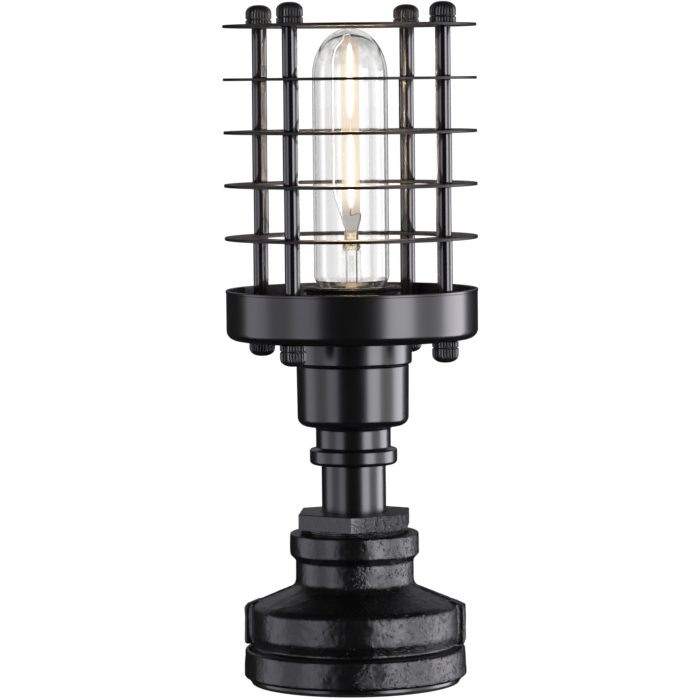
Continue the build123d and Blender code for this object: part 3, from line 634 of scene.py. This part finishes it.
def even_shading(made):
    """Keeps flat faces flat beside their rounded edges."""
    made.modifiers.new("even_shading", "WEIGHTED_NORMAL").keep_sharp = True
    return made


def stand_for(made, slot, material, *nodes):
    """Puts a finished piece in the place of CAD nodes, on the body that carries them."""
    body = next(name for name, members in node_bodies.items() if nodes[0] in members)
    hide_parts(*nodes)
    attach(made, body)
    made.data.materials.clear()
    made.data.materials.append(material)
    return made


def at_corner(angle, height=0.0, flip=False):
    place = Matrix.Rotation(math.radians(angle), 4, "Z") @ Matrix.Translation((ROD_CIRCLE, 0, height))
    return place @ Matrix.Rotation(math.pi, 4, "X") if flip else place


def shoulder(radius, lift=0.0):
    """Height of the casting's shoulder at a radius, raised square to its slope."""
    slope = math.radians(SHOULDER_SLOPE)
    return BODY_TOP_Z + (BODY_RADIUS - radius) * math.tan(slope) + lift / math.cos(slope)


def reducer_base():
    """Cast reducer: turned form and ribs melted together, then given a lumpy skin."""
    foot, top, rim = low("reducer_base"), high("reducer_base"), reach("reducer_base")
    relief = BODY_RADIUS - BODY_WALL
    body = rounded([
        (MOUTH_BORE, foot), (rim, foot, BAND_EDGE), (rim - BAND_DRAFT, GROOVE_Z, BAND_EDGE),
        (BODY_RADIUS - GROOVE_DEPTH, GROOVE_Z + GROOVE_RISE, CAST_ROUND),
        (BODY_RADIUS, BODY_Z + BODY_RISE, BODY_FOOT_ROUND), (BODY_RADIUS, BODY_TOP_Z, BODY_TOP_ROUND),
        (NECK_RADIUS, shoulder(NECK_RADIUS), NECK_ROUND), (NECK_RADIUS, NECK_TOP_Z, CAST_ROUND),
        (TOP_BAND_RADIUS, BAND_FOOT_Z, CAST_ROUND), (TOP_BAND_RADIUS, top, TOP_EDGE),
        (TOP_BORE + BORE_CHAMFER, top), (TOP_BORE, top - BORE_CHAMFER), (TOP_BORE, THREAD_FOOT_Z),
        (CAVITY_NECK, THREAD_FOOT_Z - BORE_CHAMFER), (CAVITY_NECK, shoulder(CAVITY_NECK, -SHOULDER_WALL)),
        (relief, shoulder(relief, -SHOULDER_WALL)), (relief, foot + MOUTH_DEPTH),
        (MOUTH_BORE, foot + MOUTH_DEPTH),
    ])
    root = BODY_RADIUS - BODY_WALL / 2
    rib = rounded([
        (root, RIB_FOOT_Z), (RIB_RADIUS, RIB_FOOT_Z, RIB_EDGE),
        (RIB_RADIUS, shoulder(RIB_RADIUS, FIN_PROUD), RIB_EDGE), (root, shoulder(root, FIN_PROUD)),
    ])
    fin = rounded([
        (root, shoulder(root, -FIN_ROOT)), (RIB_RADIUS, shoulder(RIB_RADIUS, -FIN_ROOT)),
        (RIB_RADIUS, shoulder(RIB_RADIUS, FIN_PROUD), RIB_EDGE),
        (NECK_RADIUS, shoulder(NECK_RADIUS, FIN_PROUD)), (NECK_RADIUS, shoulder(NECK_RADIUS, -FIN_ROOT)),
    ])
    made = solid("cast_reducer", [turned(body, CASTING_SEGMENTS)])
    for side in (0, 180):
        for points, width in ((rib, RIB_WIDTH), (fin, FIN_WIDTH)):
            tool = solid("rib", [prism(points, width, RIB_ANGLE + side)])
            baked(made, "BOOLEAN", operation="UNION", object=tool, solver="EXACT")
            bpy.data.objects.remove(tool)
    inlet_z = (BODY_Z + BODY_TOP_Z) / 2
    across = Matrix.Translation((0, 0, inlet_z)) @ Matrix.Rotation(-math.pi / 2, 4, "X")
    outside = BODY_RADIUS + DRILL_PAST
    drilled(made, [plug(INLET_RADIUS, CAVITY_NECK, outside, across)])
    drilled(made, [plug(SPOT_RADIUS, SPOT_Y, outside, across)])
    baked(made, "REMESH", mode="VOXEL", voxel_size=CASTING_VOXEL * MM)
    cast_skin(made)
    shade(made, CASTING_CREASE)
    return made


def cast_skin(made):
    """Uneven skin of a sand casting. Its touching faces stay true."""
    mesh = made.data
    places = np.empty(len(mesh.vertices) * 3)
    mesh.vertices.foreach_get("co", places)
    normals = np.empty(len(mesh.vertices) * 3)
    mesh.vertex_normals.foreach_get("vector", normals)
    places, normals = places.reshape(-1, 3), normals.reshape(-1, 3)
    bottom, top = places[:, 2].min(), places[:, 2].max()
    depth = np.zeros(len(places))
    for number, place in enumerate(places):
        if math.hypot(place[0], place[1]) < (TOP_BORE + BORE_MARGIN) * MM:
            continue
        p = Vector(place)
        depth[number] = sum(noise.noise(p / (size * MM)) * deep for size, deep in SKIN_LUMPS)
    edge = np.minimum(places[:, 2] - bottom, top - places[:, 2])
    depth *= np.clip(edge / (SKIN_FADE * MM), 0, 1)
    places += normals * (np.clip(depth, SKIN_IN, SKIN_OUT) * MM)[:, None]
    mesh.vertices.foreach_set("co", places.ravel())
    mesh.update()


def stem_pipe():
    """Plain pipe between the bushing and the cup."""
    foot, top, radius = low("stem_pipe"), high("stem_pipe"), reach("stem_pipe")
    inner = radius - PIPE_WALL
    return solid("stem_pipe_tube", [turned(rounded([
        (inner, foot), (radius, foot, PIPE_EDGE), (radius, top, PIPE_EDGE), (inner, top),
    ]))])


def socket_cup():
    """Turned cup with its neck and foot band, bored for the nipple."""
    foot, top = low("socket_cup"), high("socket_cup")
    bore, inner = reach("stem_pipe") + PIPE_FIT, CUP_RADIUS - CUP_WALL
    floor_z = CUP_FOOT_Z + CUP_FLOOR
    return solid("turned_cup", [turned(rounded([
        (bore, foot), (CUP_BAND_RADIUS, foot, CUP_BAND_FOOT_ROUND),
        (CUP_BAND_RADIUS, CUP_BAND_TOP_Z, CUP_BAND_TOP_ROUND),
        (CUP_NECK_RADIUS, CUP_BAND_TOP_Z, CUP_NECK_FOOT_ROUND),
        (CUP_NECK_RADIUS, CUP_FOOT_Z, CUP_NECK_TOP_ROUND),
        (CUP_RADIUS, CUP_FOOT_Z, CUP_CORNER), (CUP_RADIUS + CUP_FLARE, top, CUP_TOP_ROUND),
        (inner, top, CUP_LIP_ROUND), (inner, floor_z, CUP_CORNER - CUP_WALL),
        (CUP_NIPPLE_BORE, floor_z), (CUP_NIPPLE_BORE, CUP_FOOT_Z), (bore, CUP_FOOT_Z),
    ]))])


def cup_collar():
    """Band on the cup's mouth, with a spigot inside it."""
    foot, top, radius = low("cup_collar"), high("cup_collar"), reach("cup_collar")
    spigot = CUP_RADIUS - CUP_WALL - SPIGOT_FIT
    return solid("turned_collar", [turned(rounded([
        (COLLAR_BORE, foot), (spigot, foot, SPIGOT_EDGE), (spigot, foot + SPIGOT),
        (radius, foot + SPIGOT, COLLAR_FOOT_ROUND), (radius, top, COLLAR_EDGE), (COLLAR_BORE, top),
    ]))])


def pan():
    """Spun pan with a rolled lip, drilled for the rods."""
    foot, rim = low("pan"), high("pan")
    inner, lip = PAN_RADIUS - PAN_SHEET, PAN_RADIUS + PAN_LIP_PROUD
    made = solid("spun_pan", [turned(rounded([
        (COLLAR_BORE, foot), (PAN_RADIUS, foot, PAN_CORNER),
        (PAN_RADIUS, rim - PAN_LIP - PAN_LIP_STEP), (lip, rim - PAN_LIP, PAN_LIP_STEP),
        (lip, rim, PAN_LIP_EDGE), (inner, rim, PAN_LIP_EDGE),
        (inner, foot + PAN_SHEET, PAN_CORNER - PAN_SHEET), (COLLAR_BORE, foot + PAN_SHEET),
    ]), WIDE_SEGMENTS)])
    return drilled(made, rod_holes(foot, foot + PAN_SHEET))


def rod_holes(bottom, top):
    bottom, top = bottom - ROD_HOLE_PAST, top + ROD_HOLE_PAST
    return [plug(ROD_HOLE, bottom, top, at_corner(a), segments=32) for a in CORNERS.values()]


def cage_ring(number):
    """Flat ring with the holes of its rods, counted from the top."""
    node = f"cage_ring_{number}"
    bottom, top, radius = low(node), high(node), reach(node)
    made = solid(f"flat_ring_{number}", [turned(rounded([
        (RING_HOLE, bottom, RING_INNER_EDGE), (radius, bottom, RING_OUTER_EDGE),
        (radius, top, RING_OUTER_EDGE), (RING_HOLE, top, RING_INNER_EDGE),
    ], step=22), WIDE_SEGMENTS)])
    return drilled(made, rod_holes(bottom, top))


def spacer_tubes(number):
    """Four tubes of a tier, each hanging a little to one side of its rod."""
    node = f"spacer_tubes_{number}"
    inner = SPACER_RADIUS - SPACER_WALL
    outline = rounded([
        (inner, low(node)), (SPACER_RADIUS, low(node), SPACER_EDGE),
        (SPACER_RADIUS, high(node), SPACER_EDGE), (inner, high(node)),
    ], step=18)
    tubes = []
    for corner, angle in enumerate(CORNERS.values()):
        side = math.radians(SPACER_LEAN * (number + corner) + SPACER_CORNER_LEAN * corner)
        shift = Matrix.Translation((SPACER_PLAY * math.cos(side), SPACER_PLAY * math.sin(side), 0))
        tubes.append(turned(outline, 64, place=at_corner(angle) @ shift))
    return solid(f"spacers_{number}", tubes)


def knurl(angle):
    """Radius that the knurl's straight grooves leave."""
    phase = angle * KNURL_TEETH / math.pi % 2
    share = abs(phase - 1)
    return NUT_RADIUS + KNURL_PROUD - share * KNURL_DEPTH


def cap_nut(name, place):
    """Knurled cap nut with a waist and a dome, its flat face at height zero."""
    body = NUT_FLANGE + NUT_GROOVE
    shoulder_z = body + NUT_BODY
    top = shoulder_z + NUT_DOME
    waist = NUT_RADIUS - NUT_GROOVE_DEPTH
    dome = [
        (NUT_RADIUS * math.cos(a) ** NUT_DOME_FULLNESS, shoulder_z + NUT_DOME * math.sin(a))
        for a in (math.pi / 2 * n / NUT_DOME_STEPS for n in range(NUT_DOME_STEPS))
    ]
    outline = rounded([
        (NUT_BORE, 0), (NUT_RADIUS, 0, NUT_EDGE), (NUT_RADIUS, NUT_FLANGE, NUT_EDGE),
        (waist, (NUT_FLANGE + body) / 2, NUT_WAIST_ROUND), (NUT_RADIUS, body, NUT_EDGE), *dome,
        (0, top), (0, NUT_BORE_DEPTH), (NUT_BORE, NUT_BORE_DEPTH),
    ], step=9)
    return solid(name, [turned(outline, KNURL_TEETH * KNURL_STEPS, knurl, place)], KNURL_CREASE)


def holder_skirt():
    """Outer barrel of the lampholder with its rolled thread."""
    foot, top, radius = low("holder_skirt"), high("holder_skirt"), reach("holder_skirt")
    root = radius - SKIRT_THREAD_DEPTH
    corners = [(root, foot)]
    turns = int((top - foot - SKIRT_THREAD_PITCH) / SKIRT_THREAD_PITCH)
    for number in range(turns):
        z = top - (turns - number) * SKIRT_THREAD_PITCH
        corners += [
            (root, z + SKIRT_RIDGE_FOOT, SKIRT_ROOT_ROUND),
            (radius, z + SKIRT_RIDGE_LOW, SKIRT_EDGE), (radius, z + SKIRT_RIDGE_HIGH, SKIRT_EDGE),
        ]
        if number < turns - 1:
            corners.append((root, z + SKIRT_THREAD_PITCH, SKIRT_ROOT_ROUND))
    corners += [
        (radius, top, SKIRT_EDGE), (SKIRT_MOUTH, top, SKIRT_EDGE),
        (SKIRT_BORE, top - SKIRT_MOUTH_DEPTH), (SKIRT_BORE, foot),
    ]
    return solid("threaded_skirt", [turned(rounded(corners, step=15))])


def glass_outline(inset=0.0):
    """Half section of the bulb's surface, from its open foot to the top of its dome."""
    foot, top = low("bulb_glass"), high("bulb_glass")
    neck_z = foot + GLASS_NECK_DEPTH
    taper_z = neck_z + GLASS_TAPER_LOW
    radius, dome_z = reach("bulb_glass"), top - GLASS_DOME
    barrel = rounded([
        (0, foot), (GLASS_NECK - inset, foot), (GLASS_NECK - inset, neck_z, GLASS_TAPER_LOW),
        (GLASS_TAPER_RADIUS - inset, taper_z, GLASS_TAPER_LOW),
        (radius - inset, taper_z + GLASS_TAPER_HEIGHT, GLASS_TAPER_HEIGHT), (radius - inset, dome_z),
    ], step=4)[1:]
    steps = GLASS_DOME_STEPS
    dome = [
        Vector(((radius - inset) * math.cos(a), dome_z + (GLASS_DOME - inset) * math.sin(a)))
        for a in (math.pi / 2 * n / steps for n in range(1, steps + 1))
    ]
    return barrel + dome


def bulb_glass():
    outside, inside = glass_outline(), glass_outline(GLASS_WALL)
    made = solid("glass_envelope", [turned(outside + inside[::-1], GLASS_SEGMENTS)])
    made.visible_shadow = False
    return made


def in_stick_plane(x, z, y=0.0):
    """Point of the plane that holds the light sticks."""
    angle = math.radians(CAMERA_AZIMUTH)
    return Vector((x * math.cos(angle) - y * math.sin(angle), x * math.sin(angle) + y * math.cos(angle), z))


def bulb_stem():
    """Glass flare and tube with its tip, and the exhaust tube inside."""
    foot, press_top = low("bulb_stem"), high("bulb_stem")
    tube_z, top = foot + FLARE_HEIGHT, press_top - PRESS_HEIGHT
    cone_z, inner = top - STEM_CONE, STEM_RADIUS - STEM_WALL
    tube = rounded([
        (FLARE_RADIUS, foot), (FLARE_RADIUS, foot + STEM_WALL, FLARE_EDGE),
        (STEM_RADIUS, tube_z, FLARE_ROUND), (STEM_RADIUS, cone_z, STEM_CONE_ROUND),
        (STEM_TIP_RADIUS, top, STEM_TIP_ROUND), (0, top + STEM_TIP_RISE), (0, top - STEM_WALL),
        (STEM_TIP_BORE, top - STEM_WALL, STEM_TIP_BORE_ROUND), (inner, cone_z, STEM_CONE_ROUND),
        (inner, tube_z, FLARE_ROUND), (FLARE_RADIUS - STEM_WALL, foot + FLARE_LIP_RISE, FLARE_LIP_ROUND),
    ], step=6)
    bore, low_end, high_end = EXHAUST_RADIUS - EXHAUST_WALL, foot + EXHAUST_GAP, cone_z - EXHAUST_GAP
    exhaust = rounded([
        (bore, low_end), (EXHAUST_RADIUS, low_end), (EXHAUST_RADIUS, high_end), (bore, high_end),
    ])
    made = solid("glass_stem", [turned(tube, 96), turned(exhaust, 48)])
    made.visible_shadow = False
    return made


def press():
    """Flat pinched end of the stem that holds the wires, swollen at its foot."""
    top = high("bulb_stem")
    angles = [2 * math.pi * n / PRESS_SIDES for n in range(PRESS_SIDES)]
    rows = []
    for share, wide, thick in PRESS_ROWS:
        half, deep = PRESS_WIDTH / 2 * wide, PRESS_THICK / 2 * thick
        z = top - PRESS_HEIGHT * (1 - share)
        rows.append([
            in_stick_plane(half * squarish(math.cos(a)), z, deep * squarish(math.sin(a))) for a in angles
        ])
    made = solid("stem_press", [skinned(rows)], PRESS_CREASE)
    made.visible_shadow = False
    return made


def squarish(share):
    """Sine or cosine of a rounded rectangle."""
    return math.copysign(abs(share) ** PRESS_FULLNESS, share)


def skinned(rows):
    """Mesh data of a closed skin through rows of points, capped at both ends."""
    count = len(rows[0])
    verts = np.array([tuple(p) for row in rows for p in row])
    faces = [
        (r * count + i, r * count + (i + 1) % count, (r + 1) * count + (i + 1) % count, (r + 1) * count + i)
        for r in range(len(rows) - 1) for i in range(count)
    ]
    faces += [tuple(range(count - 1, -1, -1)), tuple((len(rows) - 1) * count + i for i in range(count))]
    return verts, faces


def capsule(name, bottom, top, radius, end):
    """Long stick whose ends taper over a length."""
    ends = [math.pi / 2 * n / CAPSULE_STEPS for n in range(1, CAPSULE_STEPS + 1)]
    angles = [2 * math.pi * n / CAPSULE_SIDES for n in range(CAPSULE_SIDES)]
    stations = [(radius * math.sin(a), bottom + end * (1 - math.cos(a))) for a in ends]
    stations += [(radius * math.sin(a), top - end * (1 - math.cos(a))) for a in reversed(ends)]
    rows = [[(wide * math.cos(a), wide * math.sin(a), z) for a in angles] for wide, z in stations]
    return solid(name, [skinned(rows)], CAPSULE_CREASE)


def glow_piece(name, foot, top, radius, end, material):
    """Painted glow on the bulb, no lamp, that casts no shadow and isn't mirrored."""
    made = capsule(name, foot, top, radius, end)
    made.visible_shadow = made.visible_diffuse = made.visible_glossy = False
    made.data.materials.append(material)
    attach(made, "bulb")


def wire(name, points, radius, material):
    """Round wire on the bulb, through points of the sticks' plane given as x and height."""
    curve = bpy.data.curves.new(name, "CURVE")
    curve.dimensions = "3D"
    curve.bevel_depth, curve.bevel_resolution, curve.use_fill_caps = radius * MM, 4, True
    spline = curve.splines.new("NURBS")
    spline.points.add(len(points) - 1)
    for point, where in zip(spline.points, points):
        point.co = (*(in_stick_plane(*where) * MM), 1.0)
    spline.order_u, spline.use_endpoint_u, spline.resolution_u = 3, True, 8
    made = bpy.data.objects.new(name, curve)
    bpy.context.scene.collection.objects.link(made)
    curve.materials.append(material)
    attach(made, "bulb")
    return made


def above(z, points):
    return [(x, z + height) for x, height in points]


def set_camera():
    """Camera of the photograph."""
    data = bpy.data.cameras.new("camera")
    data.lens, data.sensor_width = LENS, SENSOR
    data.clip_start, data.clip_end = CLIP_NEAR, CLIP_FAR
    camera = bpy.data.objects.new("camera", data)
    bpy.context.scene.collection.objects.link(camera)
    azimuth = math.radians(CAMERA_AZIMUTH)
    where = CAMERA_DISTANCE * Vector((math.sin(azimuth), -math.cos(azimuth), 0))
    where.z = CAMERA_HEIGHT
    camera.matrix_world = (
        Matrix.Translation(where)
        @ Matrix.Rotation(azimuth + math.radians(CAMERA_YAW), 4, "Z")
        @ Matrix.Rotation(math.radians(90 - CAMERA_TILT), 4, "X")
        @ Matrix.Rotation(math.radians(CAMERA_ROLL), 4, "Z")
    )
    bpy.context.scene.camera = camera


def set_lights():
    """Tall softboxes round the lamp and a pale room."""
    for name, (azimuth, half, top, radiance, tint) in SOFTBOXES.items():
        angle = math.radians(CAMERA_AZIMUTH + azimuth)
        lamp = bpy.data.lights.new(name, "AREA")
        lamp.shape = "RECTANGLE"
        lamp.size = 2 * SOFTBOX_DISTANCE * math.tan(math.radians(half))
        lamp.size_y = top - SOFTBOX_LOW
        lamp.energy = radiance * math.pi * lamp.size * lamp.size_y
        lamp.color = tint
        made = bpy.data.objects.new(name, lamp)
        bpy.context.scene.collection.objects.link(made)
        toward = Vector((math.sin(angle), -math.cos(angle), 0))
        made.matrix_world = (
            Matrix.Translation(SOFTBOX_DISTANCE * toward + Vector((0, 0, (SOFTBOX_LOW + top) / 2)))
            @ Matrix.Rotation(angle, 4, "Z") @ Matrix.Rotation(math.pi / 2, 4, "X")
        )
        made.visible_camera = made.visible_transmission = False
    world = bpy.data.worlds.new("studio")
    bpy.context.scene.world = world
    f = Finish(world)
    path = f.node("ShaderNodeLightPath")
    seen = Value(f, path.outputs["Is Camera Ray"]) + Value(f, path.outputs["Is Transmission Ray"])
    gloss = Value(f, path.outputs["Is Glossy Ray"])
    fill = f.node("ShaderNodeBackground", {}, {"Color": (1, 1, 1), "Strength": ROOM_FILL})
    way = f.node("ShaderNodeTexCoord").outputs["Generated"]
    behind = f.node("ShaderNodeVectorMath", {"operation": "DOT_PRODUCT"}, {0: way, 1: BACKDROP_WAY})
    rise = Value(f, f.node("ShaderNodeSeparateXYZ", {}, {0: way}).outputs["Z"])
    paper = Value(f, behind.outputs["Value"]).between(*BACKDROP_SPAN)
    paper = paper * rise.between(*BACKDROP_FOOT) * (1 - rise.between(*BACKDROP_TOP))
    dark = f.node("ShaderNodeBackground", {}, {
        "Color": BACKDROP_TINT, "Strength": BACKDROP_GLOSS * paper + ROOM_GLOSS,
    })
    white = f.node("ShaderNodeBackground", {}, {"Color": (1, 1, 1), "Strength": ROOM_WHITE})
    inner = f.node("ShaderNodeMixShader", {}, {0: gloss, 1: fill.outputs[0], 2: dark.outputs[0]})
    outer = f.node("ShaderNodeMixShader", {}, {0: seen, 1: inner.outputs[0], 2: white.outputs[0]})
    f.finish_with(outer, "ShaderNodeOutputWorld")


def set_floor():
    mesh = bpy.data.meshes.new("floor")
    ways = ((-1, -1), (1, -1), (1, 1), (-1, 1))
    mesh.from_pydata([(FLOOR_SIDE * x, FLOOR_SIDE * y, 0) for x, y in ways], [], [(0, 1, 2, 3)])
    mesh.materials.append(floor_finish())
    floor = bpy.data.objects.new("floor", mesh)
    bpy.context.scene.collection.objects.link(floor)
    floor.visible_glossy = False


def dress_hidden_nodes():
    """Finishes for the CAD nodes that stay."""
    steel = metal("zinc_steel", (0.52, 0.53, 0.55), (0.66, 0.66, 0.66), 0.34)
    black_phenolic = moulded("phenolic", (0.014, 0.012, 0.011), (0.024, 0.021, 0.019), 0.38)
    brass = metal("brass", (0.62, 0.43, 0.17), (0.74, 0.55, 0.26), 0.26)
    finishes = {
        "plate_screws": steel, "holder_nipple": steel, "nipple_nuts": steel, "terminal_screws": brass,
        "cord_grommet": moulded("rubber_black", (0.011, 0.011, 0.011), (0.02, 0.02, 0.02), 0.62),
        "hex_bushing": bushing_paint(),
        "holder_cap": black_phenolic, "shade_ring": black_phenolic,
        "holder_insert": moulded("porcelain", (0.72, 0.70, 0.65), (0.80, 0.78, 0.74), 0.22),
        "centre_contact": brass, "screw_shell": brass,
        "bulb_tip": metal("solder", (0.50, 0.50, 0.51), (0.66, 0.66, 0.67), 0.42),
        "bulb_insulator": moulded("cap_glass", (0.012, 0.010, 0.016), (0.03, 0.025, 0.035), 0.15),
        "bulb_cap": metal("cap_metal", (0.60, 0.60, 0.62), (0.72, 0.72, 0.73), 0.24),
        "bulb_driver": moulded("circuit_board", (0.05, 0.16, 0.07), (0.08, 0.22, 0.10), 0.45),
        "terminal_block": moulded("nylon", (0.70, 0.69, 0.64), (0.78, 0.77, 0.73), 0.45),
        "block_screws": brass,
    }
    jacket = moulded("lead_jacket", (0.012, 0.012, 0.012), (0.022, 0.022, 0.022), 0.5)
    finishes["lead_right"] = finishes["lead_left"] = jacket
    for corner in CORNERS:
        finishes[f"tie_rod_{corner}"] = steel
    for name, material in finishes.items():
        node = frame["nodes"][name]
        node.data.materials.clear()
        node.data.materials.append(material)


def disc(name, node, edge):
    """Flat round piece with eased edges."""
    radius, foot, top = reach(node), low(node), high(node)
    outline = rounded([(0, foot), (radius, foot, edge), (radius, top, edge), (0, top)], step=20)
    return solid(name, [turned(outline)])


def build_base():
    stand_for(disc("felt_pad", "base_pad", BASE_EDGE), "pad", pad_felt(), "base_pad")
    stand_for(disc("closing_plate", "base_plate", PLATE_EDGE), "plate_paint", satin, "base_plate")
    stand_for(reducer_base(), "casting_paint", casting_paint(), "reducer_base")


def build_stem():
    pieces = {"stem_pipe": stem_pipe(), "socket_cup": socket_cup(), "cup_collar": cup_collar()}
    for node, made in pieces.items():
        stand_for(even_shading(made), "satin_black", satin, node)
    stand_for(even_shading(pan()), "satin_black", satin, "pan")
    stand_for(holder_skirt(), "phenolic", skirt_black(), "holder_skirt")


def build_cage():
    dry = ring_black()
    for number in range(1, RINGS + 1):
        stand_for(even_shading(cage_ring(number)), "satin_black", dry, f"cage_ring_{number}")
        stand_for(spacer_tubes(number), "gloss_black", gloss, f"spacer_tubes_{number}")
    knurled = knurl_black()
    for corner, angle in CORNERS.items():
        top = cap_nut(f"upper_nut_{corner}", at_corner(angle, low(f"top_nut_{corner}")))
        stand_for(top, "gloss_black", knurled, f"top_nut_{corner}")
        under = cap_nut(f"lower_nut_{corner}", at_corner(angle, high(f"bottom_nut_{corner}"), True))
        stand_for(under, "gloss_black", knurled, f"bottom_nut_{corner}")


def stick_lights():
    """Light of the sticks on the cage, unseen by the camera and through glass."""
    for side in ("upper", "lower"):
        foot, top = low(f"light_stick_{side}"), high(f"light_stick_{side}")
        for number, share in enumerate(STICK_LIGHT_SHARES, 1):
            lamp = bpy.data.lights.new(f"stick_light_{side}_{number}", "POINT")
            lamp.energy, lamp.color = STICK_LIGHT, STICK_LIGHT_COLOUR
            lamp.shadow_soft_size = STICK_LIGHT_RADIUS * MM
            lamp.cycles.use_multiple_importance_sampling = False
            made = bpy.data.objects.new(lamp.name, lamp)
            bpy.context.scene.collection.objects.link(made)
            made.location.z = (foot + (top - foot) * share) * MM
            made.visible_camera = made.visible_transmission = False
            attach(made, "bulb")


def build_bulb():
    stand_for(bulb_glass(), "clear_glass", envelope_glass(), "bulb_glass")
    stem_glass = inner_glass(
        "stem_glass", pale=(1, 1, 1), tint=(0.95, 0.95, 0.94), ripple=0.002, size=6, index=1.25,
    )
    stand_for(bulb_stem(), "clear_glass", stem_glass, "bulb_stem")
    pinch = press()
    pinch.data.materials.append(inner_glass(
        "press_glass", pale=(0.97, 0.90, 0.74), tint=(0.72, 0.54, 0.28), ripple=0.30, size=1.3, index=1.45,
    ))
    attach(pinch, "bulb")
    core = glowing("phosphor_core", STICK_COLOUR, STICK_STRENGTH)
    for side in ("upper", "lower"):
        node = f"light_stick_{side}"
        made = capsule(f"lit_stick_{side}", low(node), high(node), STICK_RADIUS, STICK_END)
        stand_for(made, "phosphor", core, node)


def build_glows():
    """Painted glows round the sticks and in the flare."""
    stick_foot = low("light_stick_lower")
    # Painted glow in a sleeve round both sticks, dimmed to painted shade below the lower stick
    glow_piece(
        "painted_stick_glow", high("bulb_stem") - SLEEVE_FOOT, high("light_stick_upper") + SLEEVE_REACH,
        SLEEVE_RADIUS, SLEEVE_END,
        sleeve_glow("painted_glow_sleeve", *SLEEVE_LOOK, (stick_foot - SHADE_REACH, stick_foot + SHADE_REACH)),
    )
    halo = sleeve_glow("phosphor_glow", *GLOW_LOOK)
    for side in ("upper", "lower"):
        node = f"light_stick_{side}"
        foot, top = low(node) - GLOW_REACH, high(node) + GLOW_REACH
        glow_piece(f"stick_glow_{side}", foot, top, GLOW_RADIUS, GLOW_END, halo)
    # Painted glow and spark in the stem's flare
    flare_foot = FLARE_GLOW_Z - FLARE_GLOW_HALF
    glow_piece(
        "flare_glow", flare_foot, FLARE_GLOW_Z + FLARE_GLOW_HALF, FLARE_GLOW_RADIUS, FLARE_GLOW_HALF,
        sleeve_glow("flare_glow", *FLARE_GLOW_LOOK),
    )
    glow_piece(
        "flare_spark", flare_foot, FLARE_GLOW_Z + FLARE_GLOW_HALF / 2, FLARE_SPARK_RADIUS,
        FLARE_GLOW_HALF / 2, sleeve_glow("flare_spark", *FLARE_SPARK_LOOK),
    )


def build_wires():
    bright = metal("bright_wire", (0.56, 0.60, 0.68), (0.68, 0.72, 0.80), 0.5, 1.5)
    dark = metal("dark_wire", (0.10, 0.09, 0.08), (0.20, 0.18, 0.16), 0.35, 1.5)
    press_top, wire_foot = high("bulb_stem"), high("bulb_driver")
    support = wire("support_rod", [
        (-WIRE_SPREAD, wire_foot), *above(press_top, SUPPORT_ABOVE_PRESS),
        *above(high("light_stick_upper"), SUPPORT_ABOVE_STICKS),
    ], SUPPORT_RADIUS, bright)
    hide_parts("support_wire")
    lead = wire("lead_rod", [
        (WIRE_SPREAD, wire_foot), *above(press_top, LEAD_ABOVE_PRESS),
        *above(low("light_stick_lower"), LEAD_ABOVE_STICK_FOOT),
    ], WIRE_RADIUS, dark)
    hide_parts("lead_wire")
    link = wire("link_rod", [
        *above(high("light_stick_lower"), LINK_ABOVE_LOWER_STICK),
        *above(low("light_stick_upper"), LINK_ABOVE_UPPER_FOOT),
    ], WIRE_RADIUS, bright)
    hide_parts("stick_link")


scene = bpy.context.scene
scene.view_settings.view_transform = "Standard"
node_bodies = frame["record"]["behaviour"]["bodies"]
satin, gloss = satin_black(), gloss_black()

set_camera()
set_lights()
set_floor()
dress_hidden_nodes()
build_base()
build_stem()
build_cage()
build_bulb()
build_glows()
stick_lights()
build_wires()
